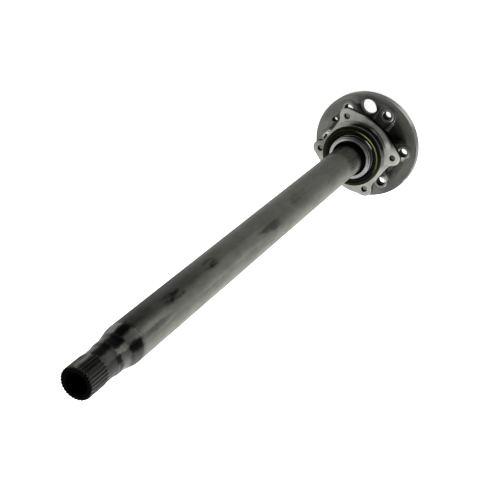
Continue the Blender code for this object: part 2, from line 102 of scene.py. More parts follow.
class Slot(Enum):
    """The material slots."""

    FORGING = "forging"
    RING_STEEL = "ring_steel"
    COLLAR_STEEL = "collar_steel"
    BALL_STEEL = "ball_steel"
    CAGE = "cage_plastic"
    SEAL = "seal_rubber"
    O_RING = "o_ring_rubber"


class Side(Enum):
    """The two ends of the bearing."""

    WHEEL = "wheel_side"
    TUBE = "tube_side"


def level(node: str, top: bool) -> float:
    """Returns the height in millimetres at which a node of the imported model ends."""
    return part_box(node)[1 if top else 0].z / MM


def cosine(degrees: float) -> float:
    """Returns the cosine of an angle in degrees."""
    return math.cos(math.radians(degrees))


def direction(degrees: float) -> Point:
    """Returns the unit vector that points to one side of the shaft."""
    return (cosine(degrees), math.sin(math.radians(degrees)), 0.0)


def dimmed(colour: Colour, share: float) -> Colour:
    """Returns a darker tone of a colour."""
    return tuple(share * part for part in colour)


def smooth_step(value: float) -> float:
    """Returns value, held between 0 and 1, eased at both ends."""
    held = min(1.0, max(0.0, value))
    return held * held * (3.0 - 2.0 * held)


def smooth_max(a: float, b: float, width: float) -> float:
    """Returns the larger of two heights, with a fillet of about the given width where they meet."""
    near = max(0.0, width - abs(a - b)) / width
    return max(a, b) + near * near * width / 4.0


def circle(radius: float, height: float, count: int) -> list[Point]:
    """Returns the points of one ring about the shaft."""
    step = 2.0 * math.pi / count
    return [(radius * math.cos(k * step), radius * math.sin(k * step), height) for k in range(count)]


def arc(centre: Pair, radius: float, start: float, end: float, steps: int) -> Outline:
    """Draws an arc.

    Args:
        centre: Its centre.
        radius: Its radius.
        start: Its first angle, in radians.
        end: Its last angle, in radians.
        steps: How many pieces it has.

    Returns:
        Its points, both ends included.
    """
    return [(centre[0] + radius * math.cos(start + (end - start) * k / steps),
             centre[1] + radius * math.sin(start + (end - start) * k / steps))
            for k in range(steps + 1)]


def soften(profile: Outline, width: float, steps: int = 3, closed: bool = True) -> Outline:
    """Rounds the corners of a profile.

    Args:
        profile: The corners as radius and height.
        width: How far from a corner its rounding starts, at most CORNER_SHARE of the side.
        steps: How many pieces each rounding has.
        closed: Whether the last corner joins the first one.

    Returns:
        The profile with each corner replaced by points on a curve.
    """
    made: Outline = []
    count = len(profile)
    for k, corner in enumerate(profile):
        if not closed and k in (0, count - 1):
            made.append(corner)
            continue
        before, after = profile[k - 1], profile[(k + 1) % count]
        reach_in = min(width, CORNER_SHARE * math.dist(corner, before))
        reach_out = min(width, CORNER_SHARE * math.dist(corner, after))
        start = [c + (b - c) * reach_in / math.dist(corner, before) for c, b in zip(corner, before)]
        end = [c + (a - c) * reach_out / math.dist(corner, after) for c, a in zip(corner, after)]
        for step in range(steps + 1):
            share = step / steps
            made.append(tuple(s * (1 - share) ** 2 + 2 * c * share * (1 - share) + e * share ** 2
                              for s, c, e in zip(start, corner, end)))
    return made


def stitch(mesh: Mesh, low: list, high: list) -> None:
    """Fills the band between two rings of vertices, which may differ in their number.

    Args:
        mesh: The mesh that gets the faces.
        low: The vertices of one ring.
        high: The vertices of the next ring.
    """
    if len(low) == len(high):
        for k in range(len(low)):
            after = (k + 1) % len(low)
            if len(low) > 1:
                mesh.faces.new((low[k], low[after], high[after], high[k]))
        return
    i = j = 0
    low_count = len(low) if len(low) > 1 else 0
    high_count = len(high) if len(high) > 1 else 0
    while i < low_count or j < high_count:
        if j == high_count or (i < low_count and (i + 1) * high_count <= (j + 1) * low_count):
            mesh.faces.new((low[i % len(low)], low[(i + 1) % len(low)], high[j % len(high)]))
            i += 1
        else:
            mesh.faces.new((low[i % len(low)], high[(j + 1) % len(high)], high[j % len(high)]))
            j += 1


def loft(rings: Sequence[Sequence[Point]], closed: bool) -> Mesh:
    """Makes a mesh through rings of points.

    Args:
        rings: The points of each ring, in millimetres. A ring of one point is a pole.
        closed: Whether the last ring joins the first one.

    Returns:
        The mesh, in metres.
    """
    mesh = bmesh.new()
    made = [[mesh.verts.new(Vector(point) * MM) for point in ring] for ring in rings]
    for low, high in zip(made, made[1:]):
        stitch(mesh, low, high)
    if closed:
        stitch(mesh, made[-1], made[0])
    bmesh.ops.recalc_face_normals(mesh, faces=mesh.faces)
    return mesh


def turned(profile: Outline, segments: int) -> Mesh:
    """Makes a turned mesh.

    Args:
        profile: A loop of radius and height. A radius of 0 is a pole.
        segments: How many sides each ring has.

    Returns:
        The mesh, in metres.
    """
    rings = [circle(radius, height, segments) if radius > 0 else [(0.0, 0.0, height)]
             for radius, height in profile]
    return loft(rings, closed=profile[0][0] > 0)


def new_object(name: str, mesh: Mesh) -> Object:
    """Makes an object of a mesh and frees the mesh.

    Args:
        name: The object's name.
        mesh: The mesh, in metres.

    Returns:
        The object, in the scene.
    """
    data = bpy.data.meshes.new(name)
    mesh.to_mesh(data)
    mesh.free()
    made = bpy.data.objects.new(name, data)
    bpy.context.scene.collection.objects.link(made)
    return made


def plain_copy(source: Object, name: str) -> Object:
    """Turns an object with live modifiers into a plain mesh object and removes the old one.

    Args:
        source: The object with its modifiers.
        name: The new object's name.

    Returns:
        The plain mesh object, in the scene.
    """
    bpy.context.view_layer.update()
    graph = bpy.context.evaluated_depsgraph_get()
    data = bpy.data.meshes.new_from_object(source.evaluated_get(graph))
    source.modifiers.clear()
    bpy.data.objects.remove(source, do_unlink=True)
    data.name = name
    made = bpy.data.objects.new(name, data)
    bpy.context.scene.collection.objects.link(made)
    return made


def combine(body: Object, tools: Sequence[tuple[Object, str]]) -> Object:
    """Joins or cuts tool shapes with a body.

    Args:
        body: The object that is changed.
        tools: Each tool with the Boolean operation it is used for.

    Returns:
        The result as a plain mesh object. The tools are removed.
    """
    for tool, operation in tools:
        modifier = body.modifiers.new(tool.name, "BOOLEAN")
        modifier.operation = operation
        modifier.solver = "EXACT"
        modifier.object = tool
    made = plain_copy(body, body.name)
    for tool, _ in tools:
        bpy.data.objects.remove(tool, do_unlink=True)
    return made


def shade(piece: Object) -> None:
    """Shades a piece smooth up to its sharp edges."""
    piece.data.shade_smooth()
    piece.data.set_sharp_from_angle(angle=SHARP_ANGLE)


def settle(piece: Object, finish: Material, body: Body, slot: Slot, *nodes: str) -> None:
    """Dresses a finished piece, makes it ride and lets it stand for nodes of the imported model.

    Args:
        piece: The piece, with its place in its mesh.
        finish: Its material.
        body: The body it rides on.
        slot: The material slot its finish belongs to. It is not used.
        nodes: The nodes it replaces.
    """
    piece.data.materials.clear()
    piece.data.materials.append(finish)
    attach(piece, body.value)
    if nodes:
        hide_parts(*nodes)
    log.info("%s: %d faces on %s", piece.name, len(piece.data.polygons), body.value)


class Sheet:
    """Places and links the nodes of one tree."""

    def __init__(self, tree: bpy.types.NodeTree) -> None:
        """Starts on an existing tree."""
        self.tree = tree

    def add(self, kind: str, inputs: dict | None = None, **settings: object) -> bpy.types.Node:
        """Adds a node.

        Args:
            kind: The node's type name.
            inputs: Values or sockets for its inputs, by name or number.
            settings: The node's own settings.

        Returns:
            The new node.
        """
        node = self.tree.nodes.new(kind)
        for name, value in settings.items():
            setattr(node, name, value)
        for key, value in (inputs or {}).items():
            self.give(node.inputs[key], value)
        return node

    def give(self, socket: Socket, value: object) -> None:
        """Links a socket to another one, or sets its value.

        Args:
            socket: The input.
            value: A value, or the socket that feeds it.
        """
        if isinstance(value, Socket):
            self.tree.links.new(value, socket)
        else:
            socket.default_value = value

    def math(self, operation: str, *values: float | Socket) -> Socket:
        """Returns the result of a Math node."""
        return self.add("ShaderNodeMath", dict(enumerate(values)), operation=operation).outputs[0]

    def times(self, *values: float | Socket) -> Socket:
        """Returns the product of two or more values."""
        return reduce(lambda product, value: self.math("MULTIPLY", product, value), values)

    def rest(self, value: Socket) -> Socket:
        """Returns 1 less a value."""
        return self.math("SUBTRACT", 1.0, value)

    def span(self, mask: Socket, low: float, high: float) -> Socket:
        """Returns low where a mask is 0 and high where it is 1."""
        return self.math("ADD", low, self.times(mask, high - low))

    def vector(self, operation: str, a: Point | Socket, b: Point | Socket, output: str = "Vector") -> Socket:
        """Returns the result of a Vector Math node."""
        return self.add("ShaderNodeVectorMath", {0: a, 1: b}, operation=operation).outputs[output]

    def radius_and_height(self, place: Socket) -> tuple[Socket, Socket]:
        """Measures a place's distance from the shaft's axis and its height.

        Args:
            place: Object coordinates.

        Returns:
            The distance and the height, in metres.
        """
        parts = self.add("ShaderNodeSeparateXYZ", {0: place}).outputs
        squares = self.math("ADD", self.math("POWER", parts[0], 2.0), self.math("POWER", parts[1], 2.0))
        return self.math("SQRT", squares), parts[2]

    def share_towards(self, place: Socket, radius: Socket, side: Point | Socket) -> Socket:
        """Returns the cosine of the angle about the shaft between a place and one side."""
        across = self.vector("DOT_PRODUCT", place, side, "Value")
        return self.math("DIVIDE", across, self.math("MAXIMUM", radius, MM))

    def between(self, value: Socket, low: float | Socket, high: float | Socket) -> Socket:
        """Returns 0 at low and 1 at high, eased, from a Map Range node."""
        return self.add("ShaderNodeMapRange", {"Value": value, "From Min": low, "From Max": high},
                        interpolation_type="SMOOTHSTEP").outputs["Result"]

    def mix(self, factor: float | Socket, a: Colour | Socket, b: Colour | Socket,
            blend: str = "MIX") -> Socket:
        """Mixes two colours.

        Args:
            factor: The share of the second colour.
            a: The first colour.
            b: The second colour.
            blend: How they are blended.

        Returns:
            The mixed colour.
        """
        first, second = (part if isinstance(part, Socket) else (*part, 1.0) for part in (a, b))
        return self.add("ShaderNodeMix", {0: factor, 6: first, 7: second}, data_type="RGBA",
                        blend_type=blend).outputs[2]


class ShapeTree(Sheet):
    """A Geometry Nodes tree with named sizes that makes one plain mesh."""

    def __init__(self, name: str) -> None:
        """Starts an empty tree with a geometry input and output.

        Args:
            name: The tree's name.
        """
        super().__init__(bpy.data.node_groups.new(name, "GeometryNodeTree"))
        self.tree.interface.new_socket("Geometry", in_out="INPUT", socket_type="NodeSocketGeometry")
        self.tree.interface.new_socket("Geometry", in_out="OUTPUT", socket_type="NodeSocketGeometry")
        self.entry = self.tree.nodes.new("NodeGroupInput")
        self.exit = self.tree.nodes.new("NodeGroupOutput")
        self.keys: dict[str, str] = {}

    @property
    def base(self) -> Socket:
        """The geometry that the tree is given."""
        return self.entry.outputs["Geometry"]

    def size(self, name: str, kind: str = "NodeSocketFloat") -> Socket:
        """Adds a named input.

        Args:
            name: The input's name.
            kind: Its socket type.

        Returns:
            Its socket inside the tree.
        """
        item = self.tree.interface.new_socket(name, in_out="INPUT", socket_type=kind)
        self.keys[name] = item.identifier
        return self.entry.outputs[name]

    def close(self, geometry: Socket) -> None:
        """Ends the tree: real instances, then its material.

        Args:
            geometry: What the tree has made.
        """
        real = self.add("GeometryNodeRealizeInstances", {"Geometry": geometry})
        finish = self.size("Finish", "NodeSocketMaterial")
        dressed = self.add("GeometryNodeSetMaterial", {"Geometry": real.outputs[0], "Material": finish})
        self.give(self.exit.inputs["Geometry"], dressed.outputs[0])

    def make(self, name: str, base: Mesh | None, **sizes: object) -> Object:
        """Runs the tree.

        Args:
            name: The result's name.
            base: The mesh that the tree starts from, or None for an empty one.
            sizes: A value for each named input, with underscores for spaces.

        Returns:
            A plain mesh object.
        """
        holder = new_object(name, base or bmesh.new())
        modifier = holder.modifiers.new(name, "NODES")
        modifier.node_group = self.tree
        for key, value in sizes.items():
            modifier[self.keys[key.replace("_", " ")]] = value
        return plain_copy(holder, name)


def pattern_tree() -> ShapeTree:
    """Builds the tree that repeats a shape evenly about the shaft, each copy facing outwards.

    Returns:
        The tree.
    """
    tree = ShapeTree("circle_pattern")
    count = tree.size("Count", "NodeSocketInt")
    radius = tree.size("Radius")
    start = tree.size("Start angle")
    number = tree.add("GeometryNodeInputIndex").outputs[0]
    angle = tree.math("ADD", start, tree.math("DIVIDE", tree.times(number, 2.0 * math.pi), count))
    place = tree.add("ShaderNodeCombineXYZ", {"X": tree.times(radius, tree.math("COSINE", angle)),
                                              "Y": tree.times(radius, tree.math("SINE", angle))})
    facing = tree.add("ShaderNodeCombineXYZ", {"Z": angle})
    points = tree.add("GeometryNodePoints", {"Count": count, "Position": place.outputs[0]})
    copies = tree.add("GeometryNodeInstanceOnPoints",
                      {"Points": points.outputs[0], "Instance": tree.base, "Rotation": facing.outputs[0]})
    tree.close(copies.outputs[0])
    return tree


def pocket_tree() -> ShapeTree:
    """Builds the tree that cuts round pockets through a ring, evenly about the shaft.

    Returns:
        The tree.
    """
    tree = ShapeTree("pocket_ring")
    count = tree.size("Count", "NodeSocketInt")
    radius = tree.size("Radius")
    height = tree.size("Height")
    pocket = tree.size("Pocket radius")
    ring = tree.add("GeometryNodeMeshCircle", {"Vertices": count, "Radius": radius})
    ball = tree.add("GeometryNodeMeshIcoSphere", {"Radius": pocket, "Subdivisions": 4})
    copies = tree.add("GeometryNodeInstanceOnPoints",
                      {"Points": ring.outputs[0], "Instance": ball.outputs[0]})
    lift = tree.add("ShaderNodeCombineXYZ", {"Z": height})
    moved = tree.add("GeometryNodeTransform", {"Geometry": copies.outputs[0], "Translation": lift.outputs[0]})
    cutters = tree.add("GeometryNodeRealizeInstances", {"Geometry": moved.outputs[0]})
    cut = tree.add("GeometryNodeMeshBoolean", {"Mesh 1": tree.base, "Mesh 2": cutters.outputs[0]},
                   operation="DIFFERENCE", solver="EXACT")
    tree.close(cut.outputs[0])
    return tree


def swept_ring_tree() -> ShapeTree:
    """Builds the tree that sweeps a round section along a circle about the shaft.

    Returns:
        The tree.
    """
    tree = ShapeTree("swept_ring")
    radius = tree.size("Radius")
    section = tree.size("Section radius")
    height = tree.size("Height")
    path = tree.add("GeometryNodeCurvePrimitiveCircle", {"Resolution": 160, "Radius": radius})
    profile = tree.add("GeometryNodeCurvePrimitiveCircle", {"Resolution": 28, "Radius": section})
    swept = tree.add("GeometryNodeCurveToMesh",
                     {"Curve": path.outputs[0], "Profile Curve": profile.outputs[0]})
    lift = tree.add("ShaderNodeCombineXYZ", {"Z": height})
    moved = tree.add("GeometryNodeTransform", {"Geometry": swept.outputs[0], "Translation": lift.outputs[0]})
    tree.close(moved.outputs[0])
    return tree


def thread_tree() -> ShapeTree:
    """Builds the tree that winds a three-sided ridge along a screw line, for a tapped hole.

    Returns:
        The tree.
    """
    tree = ShapeTree("thread_ridge")
    radius = tree.size("Radius")
    ridge = tree.size("Ridge radius")
    turns = tree.size("Turns")
    length = tree.size("Length")
    line = tree.add("GeometryNodeCurveSpiral", {"Resolution": 32, "Rotations": turns, "Start Radius": radius,
                                                "End Radius": radius, "Height": length})
    profile = tree.add("GeometryNodeCurvePrimitiveCircle", {"Resolution": 3, "Radius": ridge})
    swept = tree.add("GeometryNodeCurveToMesh",
                     {"Curve": line.outputs[0], "Profile Curve": profile.outputs[0], "Fill Caps": True})
    tree.close(swept.outputs[0])
    return tree


class Effects:
    """Shader node groups that more than one finish uses."""

    def __init__(self) -> None:
        """Builds each group once."""
        self.mottle = self._mottle()
        self.turning = self._turning()
        self.streak = self._streak()

    @staticmethod
    def _group(name: str, inputs: dict[str, float | None],
               output: str) -> tuple[Sheet, Callable[[str], Socket], Callable[[Socket], object]]:
        """Starts a group.

        Args:
            name: The group's name.
            inputs: Each input's first value, or None for a vector.
            output: The name of its one output.

        Returns:
            The sheet to place nodes on, a function that gives an input's socket and one that sets the output.
        """
        tree = bpy.data.node_groups.new(name, "ShaderNodeTree")
        for label, value in inputs.items():
            kind = "NodeSocketVector" if value is None else "NodeSocketFloat"
            item = tree.interface.new_socket(label, in_out="INPUT", socket_type=kind)
            if value is not None:
                item.default_value = value
        tree.interface.new_socket(output, in_out="OUTPUT", socket_type="NodeSocketFloat")
        entry, leave = tree.nodes.new("NodeGroupInput"), tree.nodes.new("NodeGroupOutput")
        sheet = Sheet(tree)
        return sheet, lambda key: entry.outputs[key], lambda socket: sheet.give(leave.inputs[0], socket)

    @classmethod
    def _mottle(cls) -> bpy.types.NodeTree:
        """Builds the group of soft uneven patches, from 0 to 1.

        Returns:
            The group.
        """
        sheet, take, give = cls._group("mottle", {"Vector": None, "Scale": 40.0, "Low": 0.4, "High": 0.65},
                                       "Mask")
        cloud = sheet.add("ShaderNodeTexNoise", {"Vector": take("Vector"), "Scale": take("Scale"),
                                                 "Detail": 5.0, "Roughness": 0.6})
        give(sheet.between(cloud.outputs[0], take("Low"), take("High")))
        return sheet.tree

    @classmethod
    def _turning(cls) -> bpy.types.NodeTree:
        """Builds the group of a turning tool's fine grooves, on flat faces and on round sides alike.

        Returns:
            The group.
        """
        sheet, take, give = cls._group("turning_marks", {"Vector": None, "Density": 2500.0}, "Height")
        radius, height = sheet.radius_and_height(take("Vector"))
        along = sheet.times(sheet.math("ADD", radius, height), take("Density"))
        lines = sheet.add("ShaderNodeTexNoise", {"W": along, "Scale": 1.0, "Detail": 2.0},
                          noise_dimensions="1D")
        give(lines.outputs[0])
        return sheet.tree

    @classmethod
    def _streak(cls) -> bpy.types.NodeTree:
        """Builds the group of a patch with wavering edges on one side of the shaft, from 0 to 1.

        Returns:
            The group.
        """
        sheet, take, give = cls._group("streak", {"Vector": None, "Side": None, "Full": 1.0, "Edge": 0.9,
                                                  "Low": 0.0, "High": 1.0, "Soft": 0.001}, "Mask")
        cloud = sheet.add("ShaderNodeTexNoise", {"Vector": take("Vector"), "Scale": 160.0, "Detail": 3.0})
        shift = sheet.vector("SUBTRACT", cloud.outputs[1], (0.5, 0.5, 0.5))
        shift = sheet.vector("MULTIPLY", shift, EDGE_WAVER)
        place = sheet.vector("ADD", take("Vector"), shift)
        radius, height = sheet.radius_and_height(place)
        mask = sheet.between(sheet.share_towards(place, radius, take("Side")), take("Edge"), take("Full"))
        half = take("Soft")
        for limit, sign in (("Low", 1.0), ("High", -1.0)):
            over = sheet.times(sheet.math("SUBTRACT", height, take(limit)), sign)
            mask = sheet.times(mask, sheet.between(over, sheet.times(half, -1.0), half))
        give(mask)
        return sheet.tree


@dataclass(frozen=True)
class Streak:
    """A streak on one side of the shaft: a painted highlight where its tone is above 1, painted shade and
    painted dark reflection where it is below.

    The turn and the half widths are in degrees about the shaft, the heights in millimetres.
    Tone multiplies the colour, and below 1 it takes the gloss away too. Broken is how much
    of the streak is gone where the break-up clouds lie.
    """

    turn: float
    full: float
    edge: float
    low: float
    high: float
    tone: float
    soft: float = 1.5
    broken: float = 0.0


@dataclass(frozen=True)
class Tint:
    """A darker or lighter patch between two radii.

    The turn and the half widths are in degrees about the shaft, the radii in millimetres.
    A half width of ALL_ROUND makes it a whole ring. Tone multiplies the colour.
    """

    turn: float
    full: float
    edge: float
    inner: float
    outer: float
    tone: float
    soft: float = 1.5


@dataclass(frozen=True)
class PaintedHighlight:
    """A painted highlight on a ring of rubber. The angles are in degrees, the radii in millimetres."""

    colour: Colour
    turn: float
    full: float
    edge: float
    inner: float
    outer: float
    soft: float = 0.8


# Painted highlights (tone above 1) and painted shade and dark reflections (tone below 1) at fixed sides of
# the tube, the neck and the spline.
SHAFT_LIGHT_AND_SHADE = (
    Streak(-18, 14, 25, 452, 746, 1.45, 22),
    Streak(-13, 2, 11, 680, 746, 1.5, 20),
    Streak(-27, 1, 11, 690, 746, 0.62, 14),
    Streak(12, 8, 24, 560, 682, 0.15, 12, 0.8),
    Streak(30, 14, 24, 702, 744, 0.55, 8, 0.5),
    Streak(-20, 8, 16, 400, 455, 0.5, 10, 0.9),
    Streak(4, 6, 14, 300, 345, 0.6, 10, 0.9),
    Streak(25, 55, 95, 96, 148, 0.12, 10, 0.5),
    Streak(25, 14, 22, 742.5, 747, 0.35, 1),
    Streak(-62, 34, 48, 748, 766, 0.55, 2.5),
    Streak(-31, 3, 19, 747.5, 767, 0.13, 2),
    Streak(-4, 8, 22, 746, 766, 2.7, 2.5),
    Streak(26, 6, 23, 747, 767, 0.05, 2),
    Streak(53, 4, 18, 748, 766, 7.0, 3),
    Streak(-13, 4, 13, 768, 785, 5.0, 2.5),
    Streak(20, 15, 31, 767, 784, 0.08),
    Streak(-34, 7, 18, 784, 790, 0.3),
    Streak(25, 9, 25, 784, 809, 0.10),
    Streak(14, 11, 24, 809, 836, 0.4),
    Streak(43, 3, 12, 808, 837, 7.0),
    Streak(72, 12, 24, 600, 748, 0.6, 40),
    Streak(-68, 16, 26, 763, 769, 0.6, 2),
    Streak(-55, 28, 40, 782, 786.5, 0.4, 1.2),
    Streak(-62, 30, 46, 788, 812, 0.6, 3),
    Streak(-6, 13, 22, 785, 805, 2.0, 3),
)

# Painted shade in the flange's pocket beside the bearing; the coat is taken off there too.
POCKET_SHADE = Tint(-24, 14, 27, 36, 60, 0.22, 5)

# Painted light and painted shade on the flange's face and rim at fixed sides.
FLANGE_LIGHT_AND_SHADE = (
    POCKET_SHADE,
    Tint(-26, 10, 22, 62, 71, 0.62, 4),
    Tint(-90, 18, 34, 60, 68.5, 3.0),
    Tint(96, 18, 34, 60, 69, 3.0),
    Tint(-84, 24, 44, 70, 88, 0.66),
    Tint(82, 10, 24, 70, 82, 0.74),
    Tint(180, 40, 80, 66, 88, 0.82),
    Tint(18, 14, 24, 77, 83, 0.6),
    Tint(-80, 26, 50, 85, 86.3, 0.55, 0.3),
    Tint(-35, 7, 16, 86.3, 90, 0.45, 0.2),
    Tint(-14, 7, 17, 86.3, 90, 1.5, 0.2),
    Tint(26, 8, 22, 86.3, 90, 0.55, 0.2),
    Tint(83, 6, 14, 86.3, 90, 0.7, 0.2),
)

# Painted shade: dark rings at the collar's step and outer edge, and one darker side.
COLLAR_SHADE = (
    Tint(0, ALL_ROUND, ALL_ROUND, 32.75, 33.25, 0.3, 0.12),
    Tint(0, ALL_ROUND, ALL_ROUND, 34.15, 36, 0.4, 0.15),
    Tint(24, 14, 32, 27, 36, 0.65),
)

# Painted shade on the O-ring's outer side.
O_RING_SHADE = (Tint(0, ALL_ROUND, ALL_ROUND, 45.4, 60, 0.12, 0.3),)

# Painted light and painted shade on the plate's face and the pilot's foot at fixed sides, with a painted
# highlight on the step's edge.
PLATE_LIGHT_AND_SHADE = (
    Tint(82, 28, 46, 46, 52.2, 2.0, 0.3),
    Tint(-58, 8, 20, 46, 49.2, 0.45, 0.3),
    Tint(-20, 9, 20, 49.6, 52.4, 0.42, 0.3),
    Tint(19, 9, 18, 49.6, 52.4, 0.32, 0.3),
    Tint(0, 4, 11, 49.2, 50.6, 2.6, 0.3),
    Tint(58, 24, 40, 53, 76, 2.1),
    Tint(-47, 13, 27, 53, 76, 1.4),
    Tint(-9, 12, 24, 50, 80, 0.55),
    Tint(-8, 20, 38, 60.5, 80, 0.05, 2.2),
)


class Paint(Sheet):
    """The node tree of one material, with the values that finishes share."""

    def __init__(self, name: str, effects: Effects) -> None:
        """Starts a material with its Principled shader and its Object coordinates.

        Args:
            name: The material's name.
            effects: The shared node groups.
        """
        self.material = bpy.data.materials.new(name)
        self.material.use_nodes = True
        super().__init__(self.material.node_tree)
        self.effects = effects
        self.shader = self.tree.nodes["Principled BSDF"]
        self.place = self.add("ShaderNodeTexCoord").outputs["Object"]
        self.radius, self.height = self.radius_and_height(self.place)

    def effect(self, tree: bpy.types.NodeTree, **inputs: object) -> Socket:
        """Places a shared group with its own values and returns its output."""
        return self.add("ShaderNodeGroup", inputs, node_tree=tree).outputs[0]

    def patches(self, cloud: Cloud, place: Socket | None = None) -> Socket:
        """Returns soft patches, from 0 to 1."""
        scale, low, high = cloud
        return self.effect(self.effects.mottle, Vector=place or self.place, Scale=scale, Low=low, High=high)

    def marks(self, density: float) -> Socket:
        """Returns the height of turning marks."""
        return self.effect(self.effects.turning, Vector=self.place, Density=density)

    def streak(self, streak: Streak) -> Socket:
        """Finds where a streak lies, from 0 to 1.

        Args:
            streak: The streak.

        Returns:
            The mask.
        """
        return self.effect(self.effects.streak, Vector=self.place, Side=direction(streak.turn),
                           Full=cosine(streak.full), Edge=cosine(streak.edge),
                           Low=streak.low * MM, High=streak.high * MM, Soft=streak.soft * MM)

    def at_height(self, heights: Pair) -> Socket:
        """Returns 0 at the first height and 1 at the second, eased."""
        return self.between(self.height, heights[0] * MM, heights[1] * MM)

    def at_radius(self, radii: Pair) -> Socket:
        """Returns 0 at the first radius and 1 at the second, eased."""
        return self.between(self.radius, radii[0] * MM, radii[1] * MM)

    def facing(self, turn: float, full: float, edge: float) -> Socket:
        """Returns 1 near one side of the shaft, fading out.

        Args:
            turn: The side's angle about the shaft, in degrees.
            full: Half the full-strength width, in degrees.
            edge: Half the whole width, in degrees.

        Returns:
            The mask.
        """
        return self.between(self.share_towards(self.place, self.radius, direction(turn)),
                            cosine(edge), cosine(full))

    def tint_mask(self, tint: Tint) -> Socket:
        """Finds where a tint lies, from 0 to 1.

        Args:
            tint: The tint.

        Returns:
            The mask.
        """
        ring = self.times(self.at_radius((tint.inner - tint.soft, tint.inner + tint.soft)),
                          self.at_radius((tint.outer + tint.soft, tint.outer - tint.soft)))
        if tint.full >= ALL_ROUND:
            return ring
        return self.times(self.facing(tint.turn, tint.full, tint.edge), ring)

    def shaded(self, colour: Socket, tone: float | Colour) -> Socket:
        """Returns a colour multiplied by a tone."""
        return self.mix(1.0, colour, tone if isinstance(tone, tuple) else (tone,) * 3, "MULTIPLY")

    def tinted(self, colour: Socket, tints: Iterable[Tint]) -> Socket:
        """Lays tints over a colour.

        Args:
            colour: The colour below.
            tints: The tints, in order.

        Returns:
            The tinted colour.
        """
        for tint in tints:
            colour = self.mix(self.tint_mask(tint), colour, self.shaded(colour, tint.tone))
        return colour

    def stretched(self, across: float, along: float) -> Socket:
        """Returns coordinates stretched along the shaft."""
        scale = (across, across, along)
        return self.add("ShaderNodeMapping", {"Vector": self.place, "Scale": scale}).outputs[0]

    def set(self, **inputs: object) -> None:
        """Sets or links inputs of the shader, with underscores for spaces."""
        for key, value in inputs.items():
            self.give(self.shader.inputs[key.replace("_", " ")], value)

    def bump(self, height: Socket, strength: float, depth: float) -> None:
        """Feeds a height to the shader's normal. The depth is in metres."""
        node = self.add("ShaderNodeBump", {"Height": height, "Strength": strength, "Distance": depth})
        self.give(self.shader.inputs["Normal"], node.outputs[0])


